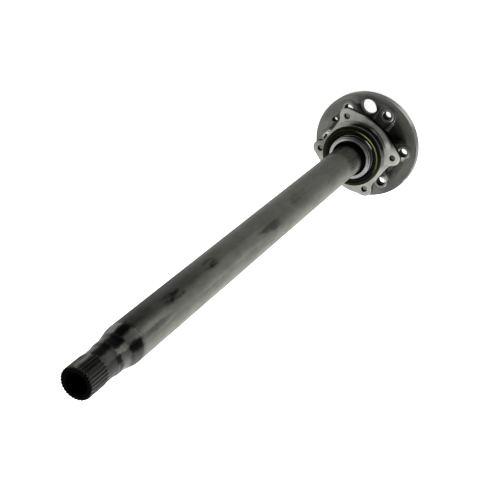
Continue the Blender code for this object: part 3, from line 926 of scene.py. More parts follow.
@dataclass(frozen=True)
class ForgingFinish:
    """Phosphated forging with painted light and shade: grey on the flange, darker on the tube, near black at
    the splined end.

    A pair of heights or radii says where a mask is 0 and where it is 1.
    """

    flange: Colour = (0.098, 0.099, 0.089)
    flange_shade: float = 0.80
    flange_clouds: Cloud = (26.0, 0.34, 0.66)
    boss: Colour = (0.17, 0.17, 0.157)
    boss_heights: Pair = (24.35, 24.55)
    boss_radii: Pair = (50.0, 52.0)
    edge: Colour = (0.18, 0.18, 0.17)
    edge_wear: Cloud = (70.0, 0.30, 0.55)
    edge_radii: Pair = (85.2, 85.4)
    edge_heights: Pair = (21.9, 22.1)
    rim_side: Colour = (0.30, 0.30, 0.285)
    rim_side_radii: Pair = (86.2, 86.4)
    hole: Colour = (0.03, 0.03, 0.028)
    hole_margins: Pair = (0.25, 0.05)
    bolt_hole: float = 7.1
    tapped_hole: float = 4.4
    access_hole: float = 13.5
    access_wall: Colour = (0.20, 0.20, 0.19)
    shaft_heights: Pair = (36.0, 40.0)
    tube: Colour = (0.135, 0.137, 0.118)
    tube_shade: Colour = (0.78, 0.78, 0.76)
    tube_clouds: Cloud = (1.0, 0.38, 0.62)
    tube_stretch: Pair = (60.0, 22.0)
    neck: Colour = (0.042, 0.043, 0.037)
    neck_heights: Pair = (739.0, 749.0)
    # Painted dark reflection on one side of the tube's upper part.
    dark_reflection_side: tuple[float, float, float] = (32.0, 12.0, 46.0)
    dark_reflection_heights: Pair = (420.0, 740.0)
    dark_reflection_tone: Colour = (0.2, 0.2, 0.19)
    dark_reflection_share: float = 0.8
    breaks: Cloud = (1.0, 0.44, 0.56)
    break_stretch: Pair = (62.0, 15.0)
    speckle: Cloud = (900.0, 0.55, 0.75)
    speckle_shade: Colour = (1.5, 1.5, 1.45)
    speckle_share: float = 0.2
    black: Colour = (0.0015, 0.0015, 0.0014)
    end: Colour = (0.0042, 0.0042, 0.004)
    end_heights: Pair = (837.9, 838.7)
    end_radii: Pair = (12.0, 15.0)
    bore_shade_radii: Pair = (15.0, 13.8)
    seat_shade_heights: Pair = (118.0, 103.0)
    tube_metal: float = 0.15
    flange_metal: float = 0.7
    gloss: float = 0.25
    neck_gloss: float = 0.5
    coat_roughness: float = 0.22
    roughness: Pair = (0.36, 0.52)
    rough_clouds: Cloud = (60.0, 0.3, 0.7)
    grain: Cloud = (700.0, 0.2, 0.8)
    marks: float = 2200.0
    marks_share: float = 0.6
    grain_strength: float = 0.35
    grain_depth: float = 0.00012

    def hole_wall(self, paint: Paint, steps: float, radius: float) -> Socket:
        """Returns 1 inside a hole of the flange.

        Args:
            paint: The material.
            steps: The hole's place on the bolt circle, in steps from one bolt hole to the next.
            radius: The hole's radius.

        Returns:
            The mask.
        """
        turn = LUG_TURN + steps * LUG_STEP
        centre = (LUG_CIRCLE * MM * math.cos(turn), LUG_CIRCLE * MM * math.sin(turn), 0.0)
        flat = paint.vector("MULTIPLY", paint.place, (1.0, 1.0, 0.0))
        outer, inner = self.hole_margins
        return paint.between(paint.vector("DISTANCE", flat, centre, "Value"),
                             (radius + outer) * MM, (radius + inner) * MM)

    def flange_colour(self, paint: Paint) -> Socket:
        """Paints the flange with its turned edges, bosses and holes, and with painted light and shade on its
        face, rim and smaller holes.

        Args:
            paint: The material.

        Returns:
            The colour.
        """
        dark = dimmed(self.flange, self.flange_shade)
        colour = paint.mix(paint.patches(self.flange_clouds), dark, self.flange)
        boss = paint.times(paint.at_height(self.boss_heights), paint.at_radius(self.boss_radii))
        colour = paint.mix(boss, colour, self.boss)
        worn = paint.times(paint.at_radius(self.edge_radii), paint.at_height(self.edge_heights),
                           paint.patches(self.edge_wear))
        colour = paint.mix(worn, colour, self.edge)
        colour = paint.mix(paint.at_radius(self.rim_side_radii), colour, self.rim_side)
        colour = paint.tinted(colour, FLANGE_LIGHT_AND_SHADE)
        # Painted shade on the walls of the bolt holes and the tapped hole; the access hole's wall has a
        # lighter machined tone.
        holes = [(number, self.bolt_hole) for number in range(LUG_COUNT)] + [(TAPPED_STEPS, self.tapped_hole)]
        for steps, radius in holes:
            colour = paint.mix(self.hole_wall(paint, steps, radius), colour, self.hole)
        return paint.mix(self.hole_wall(paint, ACCESS_STEPS, self.access_hole), colour, self.access_wall)

    def tube_colour(self, paint: Paint, neck: Socket) -> tuple[Socket, Socket]:
        """Paints the tube and the neck, with painted highlights, painted shade and painted dark reflections
        on fixed sides.

        Args:
            paint: The material.
            neck: The mask of the neck and the spline.

        Returns:
            The colour, and the share of the gloss that is left where painted shade lies.
        """
        colour = paint.mix(neck, self.tube, self.neck)
        clouds = paint.patches(self.tube_clouds, paint.stretched(*self.tube_stretch))
        colour = paint.mix(clouds, paint.shaded(colour, self.tube_shade), colour)
        # Painted dark reflection on one side of the tube.
        dark_reflection = paint.times(paint.facing(*self.dark_reflection_side), paint.at_height(self.dark_reflection_heights),
                            paint.rest(neck), self.dark_reflection_share)
        colour = paint.mix(dark_reflection, colour, paint.shaded(colour, self.dark_reflection_tone))
        breaks = paint.patches(self.breaks, paint.stretched(*self.break_stretch))
        shine = 1.0
        for streak in SHAFT_LIGHT_AND_SHADE:
            mask = paint.streak(streak)
            if streak.broken:
                mask = paint.times(mask, paint.span(breaks, 1.0 - streak.broken, 1.0))
            colour = paint.mix(mask, colour, paint.shaded(colour, streak.tone))
            if streak.tone < 1.0:
                shine = paint.times(paint.span(mask, 1.0, streak.tone), shine)
        return colour, shine

    def make(self, effects: Effects) -> Material:
        """Builds the material.

        Args:
            effects: The shared node groups.

        Returns:
            The material.
        """
        paint = Paint("phosphated_forging", effects)
        shaft = paint.at_height(self.shaft_heights)
        neck = paint.at_height(self.neck_heights)
        tube, shine = self.tube_colour(paint, neck)
        colour = paint.mix(shaft, self.flange_colour(paint), tube)
        speckle = paint.times(paint.patches(self.speckle), self.speckle_share)
        colour = paint.mix(speckle, colour, paint.shaded(colour, self.speckle_shade))
        end = paint.at_height(self.end_heights)
        # Painted shade: the bore's inside and the seat next to the collar are painted black like the end
        # face.
        inside = paint.times(shaft, paint.at_radius(self.bore_shade_radii))
        seat_shade = paint.times(shaft, paint.at_height(self.seat_shade_heights))
        black = paint.math("MAXIMUM", seat_shade, paint.math("MAXIMUM", end, inside))
        face = paint.times(end, paint.at_radius(self.end_radii))
        colour = paint.mix(black, colour, paint.mix(face, self.black, self.end))
        gloss = paint.times(paint.span(neck, self.gloss, self.neck_gloss), shine, paint.rest(black),
                            paint.rest(paint.tint_mask(POCKET_SHADE)))
        metal = paint.times(paint.rest(black), paint.span(shaft, self.flange_metal, self.tube_metal))
        rough = paint.span(paint.patches(self.rough_clouds), *self.roughness)
        paint.set(Base_Color=colour, Metallic=metal, Roughness=rough, Specular_IOR_Level=0.0,
                  Coat_Weight=gloss, Coat_Roughness=self.coat_roughness)
        marks = paint.times(paint.marks(self.marks), self.marks_share)
        paint.bump(paint.math("ADD", paint.patches(self.grain), marks), self.grain_strength, self.grain_depth)
        return paint.material


@dataclass(frozen=True)
class RingSteelFinish:
    """Bearing steel of the eared outer ring with painted light and shade: faced plate and ground pilot, black
    forged sides, dark end.

    A pair of heights or radii says where a mask is 0 and where it is 1.
    """

    face: Colour = (0.335, 0.335, 0.31)
    face_heights: Pair = (64.7, 65.0)
    pilot: Colour = (0.34, 0.34, 0.318)
    pilot_heights: Pair = (66.4, 67.0)
    pilot_radii: Pair = (52.5, 51.5)
    # Painted dark reflection on the pilot's front.
    front_shade: float = 0.05
    front_side: tuple[float, float, float] = (0.0, 32.0, 56.0)
    front_radii: Pair = (50.0, 49.2)
    front_heights: Pair = (79.4, 78.6)
    forged: Colour = (0.016, 0.016, 0.015)
    end_heights: Pair = (80.0, 80.4)
    outside_radii: Pair = (47.0, 47.4)
    clouds: Cloud = (45.0, 0.34, 0.7)
    cloud_shade: Colour = (0.80, 0.80, 0.78)
    stains: Cloud = (150.0, 0.56, 0.74)
    stain_shade: Colour = (0.72, 0.71, 0.66)
    stain_share: float = 0.3
    roughness: Pair = (0.20, 0.32)
    rough_clouds: Cloud = (80.0, 0.3, 0.7)
    metal: float = 0.95
    marks: float = 2600.0
    marks_strength: float = 0.2

    def make(self, effects: Effects) -> Material:
        """Builds the material.

        Args:
            effects: The shared node groups.

        Returns:
            The material.
        """
        paint = Paint("bearing_ring_steel", effects)
        above = paint.at_height(self.face_heights)
        colour = paint.mix(above, self.forged, self.face)
        pilot = paint.times(paint.at_height(self.pilot_heights), paint.at_radius(self.pilot_radii))
        # Painted dark reflection on the pilot's front, then painted light and shade on the plate's face.
        front = paint.times(paint.facing(*self.front_side), paint.at_radius(self.front_radii),
                            paint.at_height(self.front_heights))
        colour = paint.mix(pilot, colour, paint.mix(front, self.pilot, dimmed(self.pilot, self.front_shade)))
        colour = paint.tinted(colour, PLATE_LIGHT_AND_SHADE)
        end = paint.at_height(self.end_heights)
        colour = paint.mix(end, colour, self.forged)
        outside = paint.at_radius(self.outside_radii)
        colour = paint.mix(outside, self.forged, colour)
        colour = paint.mix(paint.patches(self.clouds), paint.shaded(colour, self.cloud_shade), colour)
        stains = paint.times(paint.patches(self.stains), self.stain_share)
        colour = paint.mix(stains, colour, paint.shaded(colour, self.stain_shade))
        dull = paint.math("MAXIMUM", outside, paint.math("MAXIMUM", end, paint.rest(above)))
        rough = paint.span(paint.patches(self.rough_clouds), *self.roughness)
        paint.set(Base_Color=colour, Metallic=paint.times(paint.rest(dull), self.metal), Roughness=rough,
                  Specular_IOR_Level=0.0)
        paint.bump(paint.marks(self.marks), self.marks_strength, FINE_DEPTH)
        return paint.material


@dataclass(frozen=True)
class TurnedFinish:
    """Bright steel with fine turning marks, for the collar, the inner rings and the balls."""

    name: str
    colour: Colour
    roughness: float
    marks: float
    metallic: float = 0.85
    tints: tuple[Tint, ...] = ()
    clouds: Cloud = (70.0, 0.35, 0.7)
    shade: float = 0.82
    rough_clouds: Cloud = (120.0, 0.3, 0.7)
    rougher: float = 0.08
    marks_density: float = 3200.0

    def make(self, effects: Effects) -> Material:
        """Builds the material.

        Args:
            effects: The shared node groups.

        Returns:
            The material.
        """
        paint = Paint(self.name, effects)
        colour = paint.mix(paint.patches(self.clouds), dimmed(self.colour, self.shade), self.colour)
        rough = paint.span(paint.patches(self.rough_clouds), self.roughness, self.roughness + self.rougher)
        paint.set(Base_Color=paint.tinted(colour, self.tints), Metallic=self.metallic, Roughness=rough)
        paint.bump(paint.marks(self.marks_density), self.marks, FINE_DEPTH)
        return paint.material


@dataclass(frozen=True)
class MouldedFinish:
    """Moulded rubber or plastic with a fine skin and soft changes of tone, and on some a painted highlight
    and painted shade.
    """

    name: str
    colour: Colour
    second: Colour
    roughness: float
    gloss: float = 0.5
    painted_highlight: PaintedHighlight | None = None
    tints: tuple[Tint, ...] = ()
    clouds: Cloud = (110.0, 0.35, 0.68)
    rough_clouds: Cloud = (200.0, 0.3, 0.7)
    rougher: float = 0.12
    skin: Cloud = (1400.0, 0.2, 0.8)
    skin_strength: float = 0.2

    def make(self, effects: Effects) -> Material:
        """Builds the material.

        Args:
            effects: The shared node groups.

        Returns:
            The material.
        """
        paint = Paint(self.name, effects)
        colour = paint.mix(paint.patches(self.clouds), self.colour, self.second)
        # Painted highlight: a pale band on one side of the ring.
        if self.painted_highlight:
            painted_highlight = self.painted_highlight
            patch = Streak(painted_highlight.turn, painted_highlight.full, painted_highlight.edge, *BEARING_HEIGHTS, tone=1.0)
            ring = paint.times(paint.at_radius((painted_highlight.outer + painted_highlight.soft, painted_highlight.outer)),
                               paint.at_radius((painted_highlight.inner - painted_highlight.soft, painted_highlight.inner)))
            colour = paint.mix(paint.times(paint.streak(patch), ring), colour, painted_highlight.colour)
        rough = paint.span(paint.patches(self.rough_clouds), self.roughness, self.roughness + self.rougher)
        paint.set(Base_Color=paint.tinted(colour, self.tints), Roughness=rough, Specular_IOR_Level=self.gloss)
        paint.bump(paint.patches(self.skin), self.skin_strength, FINE_DEPTH)
        return paint.material


RACE_STEEL = TurnedFinish("ground_race_steel", (0.55, 0.55, 0.53), roughness=0.2, marks=0.15)
COLLAR_STEEL = TurnedFinish("turned_collar_steel", (0.23, 0.23, 0.22), roughness=0.36, marks=0.3,
                            tints=COLLAR_SHADE)
BALL_STEEL = TurnedFinish("polished_ball_steel", (0.66, 0.66, 0.66), roughness=0.1, marks=0.0, metallic=1.0)
CAGE_PLASTIC = MouldedFinish("cage_polyamide", (0.56, 0.51, 0.39), (0.62, 0.57, 0.44), roughness=0.42)
# The seal's pale patch is a painted glint, and the O-ring's pale band is a painted highlight above its
# painted shade.
SEAL_RUBBER = MouldedFinish("seal_rubber", (0.003, 0.003, 0.003), (0.005, 0.005, 0.005), roughness=0.3,
                            gloss=0.04, painted_highlight=PaintedHighlight((0.75, 0.68, 0.80), -14, 6, 15, 37.2, 38.2))
O_RING_RUBBER = MouldedFinish("o_ring_rubber", (0.019, 0.022, 0.006), (0.014, 0.016, 0.005), roughness=0.26,
                              gloss=0.03, painted_highlight=PaintedHighlight((0.24, 0.27, 0.08), -29, 16, 60, 40.0, 44.2),
                              tints=O_RING_SHADE)


@dataclass(frozen=True)
class Thread:
    """The thread of one or more holes on the bolt circle, from the flange's back up to its top.

    Lengths are in millimetres, and the start, the angle of the first hole, is in radians.
    """

    name: str
    radius: float
    ridge: float
    pitch: float
    top: float
    count: int
    start: float


@dataclass
class ForgedAxle:
    """The one-piece forging of wheel flange, hub and hollow splined shaft."""

    tube_radius: float = 24.5
    seat_radius: float = 28.9
    seat_end: float = 90.9
    seat_taper: float = 7.0
    bore_radius: float = 12.5
    bore_chamfer: float = 1.3
    bore_floor: float = 112.0
    neck_radius: float = 20.2
    neck_low: float = 773.5
    neck_high: float = 786.5
    cone_low: float = 751.5
    relief_radius: float = 18.85
    relief_low: float = 791.0
    relief_high: float = 807.0
    tip_radius: float = 19.6
    root_radius: float = 17.8
    teeth: int = 30
    end_chamfer: float = 1.0
    flange_radius: float = 86.5
    flange_back: float = 9.0
    flange_face: float = 23.5
    flange_chamfer: float = 1.4
    rim_width: float = 16.0
    dish_depth: float = 6.5
    dish_slope: float = 13.0
    hub_radius: float = 36.6
    hub_fillet: float = 9.0
    abutment: float = 33.0
    spigot_radius: float = 42.0
    recess_radius: float = 31.0
    recess_depth: float = 13.0
    lug_hole_radius: float = 7.0
    pad_radius: float = 14.5
    pad_root_half_width: float = 12.5
    pad_face: float = 24.1
    boss_radius: float = 11.3
    boss_face: float = 25.0
    access_radius: float = 12.8
    access_circle: float = 64.4
    tapped_radius: float = 4.3
    shaft_segments: int = 192
    flange_segments: int = 480
    bore_segments: int = 64
    corner_round: float = 1.6
    edge: float = 1.0
    hub_edge_middle: float = 0.3
    back_round: float = 0.4
    longest_band: float = 12.0
    spline_run_up: float = 4.5
    cone_shoulder: Pair = (0.5, 4.4)
    pad_wall_slope: float = 2.4
    pad_wall_offset: float = 0.6
    pad_edge_round: float = 0.9
    pad_foot_round: float = 1.8
    unevenness: float = 0.10
    unevenness_size: float = 9.0
    hub_margin: float = 0.05
    rim_margin: float = 0.2
    fine_band: float = 0.25
    coarse_band: float = 0.7
    fine_width: float = 2.5
    hole_segments: int = 48
    centre_radius: float = 3.5
    centre_depth: float = 6.0
    gap_floor_half: float = 0.38
    gap_flank: float = 0.73
    gap_top: float = 0.25
    run_out: tuple[Pair, ...] = ((5.0, 0.0), (3.0, 0.25), (1.0, 0.8), (-1.0, 1.6), (-2.0, 2.3))
    boss_chamfer: float = 0.9
    boss_round: float = 0.3
    boss_sink: float = 1.0
    boss_segments: int = 64
    lug_chamfer: float = 0.7
    access_chamfer: float = 0.9
    tapped_chamfer: float = 0.6
    thread_inset: float = 0.75
    thread_free_turns: float = 1.2
    length: float = field(default_factory=lambda: level("axle_shaft", True))

    def shaft_profile(self) -> Outline:
        """Draws the outside of the shaft from its end down to the hub's top.

        Returns:
            The radii and heights.
        """
        inset, run = self.cone_shoulder
        profile = [(self.tip_radius - self.end_chamfer, self.length),
                   (self.tip_radius, self.length - self.end_chamfer),
                   (self.tip_radius, self.relief_high + self.spline_run_up),
                   (self.relief_radius, self.relief_high),
                   (self.relief_radius, self.relief_low),
                   (self.neck_radius, self.neck_high),
                   (self.neck_radius, self.neck_low),
                   (self.tube_radius - inset, self.cone_low + run),
                   (self.tube_radius, self.cone_low),
                   (self.tube_radius, self.seat_end + self.seat_taper),
                   (self.seat_radius, self.seat_end),
                   (self.seat_radius, self.abutment)]
        made: Outline = []
        for radius, height in soften(profile, self.corner_round, 4, closed=False):
            start = made[-1] if made else (radius, height)
            drop = start[1] - height
            steps = max(1, math.ceil(drop / self.longest_band))
            made += [(start[0] + (radius - start[0]) * k / steps, start[1] - drop * k / steps)
                     for k in range(1, steps)]
            made.append((radius, height))
        return made

    def dish_height(self, radius: float) -> float:
        """Shapes the flange's front between its pads.

        Args:
            radius: Distance from the shaft's axis.

        Returns:
            The height in millimetres.
        """
        inside = (self.flange_radius - self.rim_width - radius) / self.dish_slope
        height = self.flange_face - self.dish_depth * smooth_step(inside)
        floor = self.flange_face - self.dish_depth
        run = self.hub_radius + self.hub_fillet - radius
        if run > 0:
            rise = self.hub_fillet - math.sqrt(max(0.0, self.hub_fillet ** 2 - run ** 2))
            height = max(height, floor + rise)
        return height

    def front_height(self, radius: float, angle: float) -> float:
        """Returns the height of the flange's front, with the pads that carry the wheel bolt holes.

        Args:
            radius: Distance from the shaft's axis.
            angle: Angle about it, in radians.

        Returns:
            The height in millimetres, with fillets where pad and dish meet.
        """
        turn = (angle - LUG_TURN + LUG_STEP / 2.0) % LUG_STEP - LUG_STEP / 2.0
        across = radius * math.sin(turn)
        out = radius * math.cos(turn) - LUG_CIRCLE
        if out > 0:
            beyond = math.hypot(out, across) - self.pad_radius
        else:
            share = -out / (LUG_CIRCLE - self.hub_radius)
            beyond = abs(across) - self.pad_radius - (self.pad_root_half_width - self.pad_radius) * share
        wall = self.pad_face - self.pad_wall_slope * max(0.0, beyond + self.pad_wall_offset)
        pad = -smooth_max(-wall, -self.pad_face, self.pad_edge_round)
        return smooth_max(self.dish_height(radius), pad, self.pad_foot_round)

    def front_rings(self) -> list[list[Point]]:
        """Draws the rings of the flange's front, from the hub's wall to the rim.

        Returns:
            The points of each ring.
        """
        rings = []
        radius = self.hub_radius + self.hub_margin
        limit = self.flange_radius - self.flange_chamfer - self.rim_margin
        while radius < limit:
            ring = []
            for k, (x, y, _) in enumerate(circle(radius, 0.0, self.flange_segments)):
                bump = noise.noise((x / self.unevenness_size, y / self.unevenness_size, 0.5))
                height = self.front_height(radius, 2.0 * math.pi * k / self.flange_segments)
                ring.append((x, y, height + self.unevenness * bump))
            rings.append(ring)
            radius += self.fine_band if radius < self.hub_radius + self.fine_width else self.coarse_band
        return rings

    def body_mesh(self) -> Mesh:
        """Makes the whole forging without its holes and tooth gaps.

        Returns:
            The mesh, in metres.
        """
        fine, coarse = self.flange_segments, self.shaft_segments
        mouth = self.bore_radius + self.bore_chamfer
        rings = [[(0.0, 0.0, self.bore_floor - self.bore_radius / 2.0)],
                 circle(self.bore_radius, self.bore_floor, self.bore_segments),
                 circle(self.bore_radius, self.length - self.bore_chamfer, self.bore_segments),
                 circle(mouth, self.length, self.bore_segments)]
        rings += [circle(radius, height, coarse) for radius, height in self.shaft_profile()]
        middle = self.hub_edge_middle
        rings += [circle(self.hub_radius - self.edge, self.abutment, coarse),
                  circle(self.hub_radius - middle, self.abutment - middle, fine),
                  circle(self.hub_radius, self.abutment - self.edge, fine)]
        rings += self.front_rings()
        back = [(self.flange_radius - self.flange_chamfer, self.flange_face),
                (self.flange_radius, self.flange_face - self.flange_chamfer),
                (self.flange_radius, self.flange_back + self.edge),
                (self.flange_radius - self.edge, self.flange_back),
                (self.spigot_radius, self.flange_back), (self.spigot_radius, self.edge),
                (self.spigot_radius - self.edge, 0.0), (self.recess_radius + self.edge, 0.0),
                (self.recess_radius, self.edge), (self.recess_radius, self.recess_depth)]
        rings += [circle(radius, height, fine if radius > LUG_CIRCLE else coarse)
                  for radius, height in soften(back, self.back_round, 2, closed=False)]
        rings += [circle(self.centre_radius, self.recess_depth, self.hole_segments),
                  [(0.0, 0.0, self.recess_depth + self.centre_depth)]]
        return loft(rings, closed=False)

    def gap_cutter(self) -> Mesh:
        """Makes the cutter of one tooth gap, whose root runs out of the shaft as under a hob.

        Returns:
            The mesh, in metres.
        """
        floor, top = self.gap_floor_half, self.tip_radius + self.gap_top
        half = floor + self.gap_flank * (top - self.root_radius)
        stations = [(self.length + 2.0 * OVERSHOOT, 0.0)]
        stations += [(self.relief_high + above, lift) for above, lift in self.run_out]
        rings = []
        for height, lift in stations:
            low, high = self.root_radius + lift, top + lift
            section = ((low, -floor), (high, -half), (high, half), (low, floor))
            rings.append([(x, y, height) for x, y in section])
        mesh = loft(rings, closed=False)
        bmesh.ops.holes_fill(mesh, edges=mesh.edges, sides=4)
        bmesh.ops.recalc_face_normals(mesh, faces=mesh.faces)
        return mesh

    def hole_cutter(self, radius: float, chamfer: float) -> Mesh:
        """Makes the cutter of one hole through the flange, chamfered at both faces.

        Args:
            radius: The hole's radius.
            chamfer: The size of its chamfers.

        Returns:
            The mesh, in metres.
        """
        low, high = self.flange_back, self.boss_face
        below, above, mouth = low - OVERSHOOT, high + OVERSHOOT, radius + chamfer + OVERSHOOT
        return turned([(0.0, below), (mouth, below), (radius, low + chamfer), (radius, high - chamfer),
                       (mouth, above), (0.0, above)], self.hole_segments)

    def build(self, pattern: ShapeTree, winding: ShapeTree, finish: Material) -> None:
        """Makes, dresses and settles the forging and the ridges of its threads.

        Args:
            pattern: The tree that repeats a shape about the shaft.
            winding: The tree that winds one ridge.
            finish: The forging's material.
        """
        tapped_turn = LUG_TURN + TAPPED_STEPS * LUG_STEP
        body = new_object("forged_axle", self.body_mesh())
        sunk = self.pad_face - self.boss_sink
        boss = [(0.0, sunk), (self.boss_radius, sunk), (self.boss_radius, self.pad_face),
                (self.boss_radius - self.boss_chamfer, self.boss_face), (0.0, self.boss_face)]
        lugs = {"Count": LUG_COUNT, "Radius": LUG_CIRCLE * MM, "Start_angle": LUG_TURN}
        boss = soften(boss, self.boss_round, 2, closed=False)
        bosses = pattern.make("bosses", turned(boss, self.boss_segments), **lugs)
        bolts = pattern.make("bolt_holes", self.hole_cutter(self.lug_hole_radius, self.lug_chamfer), **lugs)
        access_cutter = self.hole_cutter(self.access_radius, self.access_chamfer)
        access = pattern.make("access_hole", access_cutter, Count=1, Radius=self.access_circle * MM,
                              Start_angle=LUG_TURN + ACCESS_STEPS * LUG_STEP)
        tapped_cutter = self.hole_cutter(self.tapped_radius, self.tapped_chamfer)
        tapped = pattern.make("tapped_hole", tapped_cutter, Count=1, Radius=LUG_CIRCLE * MM,
                              Start_angle=tapped_turn)
        gaps = pattern.make("tooth_gaps", self.gap_cutter(), Count=self.teeth, Radius=0.0, Start_angle=0.0)
        piece = combine(body, [(bosses, "UNION"), (bolts, "DIFFERENCE"), (access, "DIFFERENCE"),
                               (tapped, "DIFFERENCE"), (gaps, "DIFFERENCE")])
        shade(piece)
        settle(piece, finish, Body.AXLE, Slot.FORGING, "axle_shaft")
        floor = self.dish_height(LUG_CIRCLE)
        for thread in (Thread("tapped_hole_thread", radius=self.tapped_radius, ridge=0.42, pitch=1.25,
                              top=floor, count=1, start=tapped_turn),
                       Thread("wheel_bolt_threads", radius=self.lug_hole_radius, ridge=0.5, pitch=1.5,
                              top=self.boss_face, count=LUG_COUNT, start=LUG_TURN)):
            self.wind(thread, pattern, winding, finish)

    def wind(self, thread: Thread, pattern: ShapeTree, winding: ShapeTree, finish: Material) -> None:
        """Winds a thread through its holes, as a piece of its own.

        Args:
            thread: The thread and its holes.
            pattern: The tree that repeats a shape about the shaft.
            winding: The tree that winds one ridge.
            finish: The piece's material.
        """
        depth = thread.top - self.flange_back
        wound = winding.make("wound_ridge", None, Radius=thread.radius * MM, Ridge_radius=thread.ridge * MM,
                             Turns=depth / thread.pitch - self.thread_free_turns,
                             Length=(depth - 2.0 * self.thread_inset) * MM)
        wound.data.transform(Matrix.Translation((0.0, 0.0, (self.flange_back + self.thread_inset) * MM)))
        base = bmesh.new()
        base.from_mesh(wound.data)
        bpy.data.objects.remove(wound, do_unlink=True)
        piece = pattern.make(thread.name, base, Count=thread.count, Radius=LUG_CIRCLE * MM,
                             Start_angle=thread.start)
        settle(piece, finish, Body.AXLE, Slot.FORGING)


@dataclass
class EaredRing:
    """The bearing's outer ring, in one piece with the plate whose four ears are bolted to the axle tube."""

    ear_x: float = 37.0
    ear_y: float = 48.5
    ear_radius: float = 12.5
    ear_hole_radius: float = 5.0
    side_x: float = 60.7
    side_half_length: float = 18.5
    side_round: float = 9.0
    waist: float = 52.8
    waist_fillet: float = 14.0
    plate_low: float = 56.9
    plate_high: float = 65.9
    edge_round: float = 1.5
    land_radius: float = 40.1
    shoulder_radius: float = 46.0
    pilot_radius: float = 48.6
    step_radius: float = 51.6
    step_height: float = 2.3
    pilot_end: float = 81.1
    lip_radius: float = 41.3
    relief: Pair = (0.35, 1.2)
    relief_chamfer: float = 0.3
    end_chamfer: float = 0.9
    corner_round: float = 0.5
    plate_overlap: float = 1.0
    bore_flare: float = 1.4
    bore_edge: float = 0.4
    hole_flare: float = 1.6
    hole_edge: float = 0.6
    hole_segments: int = 40
    segments: int = 192
    low: float = field(default_factory=lambda: level("flanged_outer_ring", False))
    high: float = field(default_factory=lambda: level("flanged_outer_ring", True))

    def outline(self, inset: float) -> Outline:
        """Draws the plate's outline: four ears, two waists, two straight sides.

        Args:
            inset: How far the outline is drawn in.

        Returns:
            The outline as x and y, anticlockwise.
        """
        ear = (self.ear_x, self.ear_y)
        corner = (self.side_x, self.side_half_length)
        lean = (math.atan2(corner[1] - ear[1], corner[0] - ear[0])
                + math.acos(self.ear_radius / math.dist(corner, ear)))
        normal = (math.cos(lean), math.sin(lean))
        line = normal[0] * ear[0] + normal[1] * ear[1] + self.ear_radius - self.side_round
        round_x = self.side_x - self.side_round
        round_centre = (round_x, (line - normal[0] * round_x) / normal[1])
        fillet_y = self.waist + self.waist_fillet
        fillet_x = ear[0] - math.sqrt((self.waist_fillet + self.ear_radius) ** 2 - (fillet_y - ear[1]) ** 2)
        to_waist = math.atan2(fillet_y - ear[1], fillet_x - ear[0])
        quarter = arc(round_centre, self.side_round - inset, 0.0, lean, 5)
        quarter += arc(ear, self.ear_radius - inset, lean, to_waist, 18)
        fillet = arc((fillet_x, fillet_y), self.waist_fillet + inset, to_waist - math.pi, -math.pi / 2, 9)
        quarter += fillet[1:]
        upper = quarter + [(-x, y) for x, y in reversed(quarter)]
        return upper + [(-x, -y) for x, y in upper]

    def plate_mesh(self) -> Mesh:
        """Makes the plate with rounded edges.

        Returns:
            The mesh, in metres.
        """
        quarter = [math.radians(18 * k) for k in range(6)]
        edge = [(self.edge_round * (1 - math.sin(turn)), self.edge_round * (1 - math.cos(turn)))
                for turn in quarter]
        stations = [(inset, self.plate_low + rise) for inset, rise in edge]
        stations += [(inset, self.plate_high - rise) for inset, rise in reversed(edge)]
        rings = [[(x, y, height) for x, y in self.outline(inset)] for inset, height in stations]
        mesh = loft(rings, closed=False)
        bmesh.ops.holes_fill(mesh, edges=mesh.edges, sides=0)
        bmesh.ops.recalc_face_normals(mesh, faces=mesh.faces)
        return mesh

    def groove(self, row: float) -> Outline:
        """Returns the points of a ball groove from low to high."""
        half = math.acos((self.land_radius - PITCH_RADIUS) / GROOVE_RADIUS)
        return arc((PITCH_RADIUS, row), GROOVE_RADIUS, -half, half, 10)

    def build(self, pattern: ShapeTree, finish: Material) -> None:
        """Makes, dresses and settles the ring.

        Args:
            pattern: The tree that repeats a shape about the shaft.
            finish: The ring's material.
        """
        step = self.plate_high + self.step_height
        inset, relief_end = self.pilot_radius - self.relief[0], step + self.relief[1]
        buried = self.plate_low + self.plate_overlap
        outside = [(self.shoulder_radius, self.low), (self.shoulder_radius, buried),
                   (self.step_radius, buried), (self.step_radius, step), (inset, step),
                   (inset, relief_end), (self.pilot_radius, relief_end + self.relief_chamfer),
                   (self.pilot_radius, self.pilot_end - self.end_chamfer),
                   (self.pilot_radius - self.end_chamfer, self.pilot_end),
                   (self.lip_radius, self.pilot_end), (self.lip_radius, self.high)]
        outside = soften(outside, self.corner_round, 2, closed=False)
        profile = [(0.0, self.low)] + outside + [(0.0, self.high)]
        mouth, below, above = self.land_radius + self.bore_flare, self.low - OVERSHOOT, self.high + OVERSHOOT
        bore = [(0.0, below), (mouth, below), (self.land_radius, self.low + self.bore_edge)]
        for row in BALL_ROWS:
            bore += self.groove(row)
        bore += [(self.land_radius, self.high - self.bore_edge), (mouth, above), (0.0, above)]
        flare = self.ear_hole_radius + self.hole_flare
        below, above = self.plate_low - OVERSHOOT, self.plate_high + OVERSHOOT
        hole = turned([(0.0, below), (flare, below), (self.ear_hole_radius, self.plate_low + self.hole_edge),
                       (self.ear_hole_radius, self.plate_high - self.hole_edge), (flare, above),
                       (0.0, above)], self.hole_segments)
        across, lean = math.hypot(self.ear_x, self.ear_y), math.atan2(self.ear_y, self.ear_x)
        holes = [(pattern.make(name, hole.copy(), Count=2, Radius=across * MM, Start_angle=start),
                  "DIFFERENCE") for name, start in (("holes_a", lean), ("holes_b", -lean))]
        hole.free()
        body = new_object("eared_outer_ring", turned(profile, self.segments))
        piece = combine(body, [(new_object("plate", self.plate_mesh()), "UNION"),
                               (new_object("bore", turned(bore, self.segments)), "DIFFERENCE")] + holes)
        shade(piece)
        settle(piece, finish, Body.HOUSING, Slot.RING_STEEL, "flanged_outer_ring")


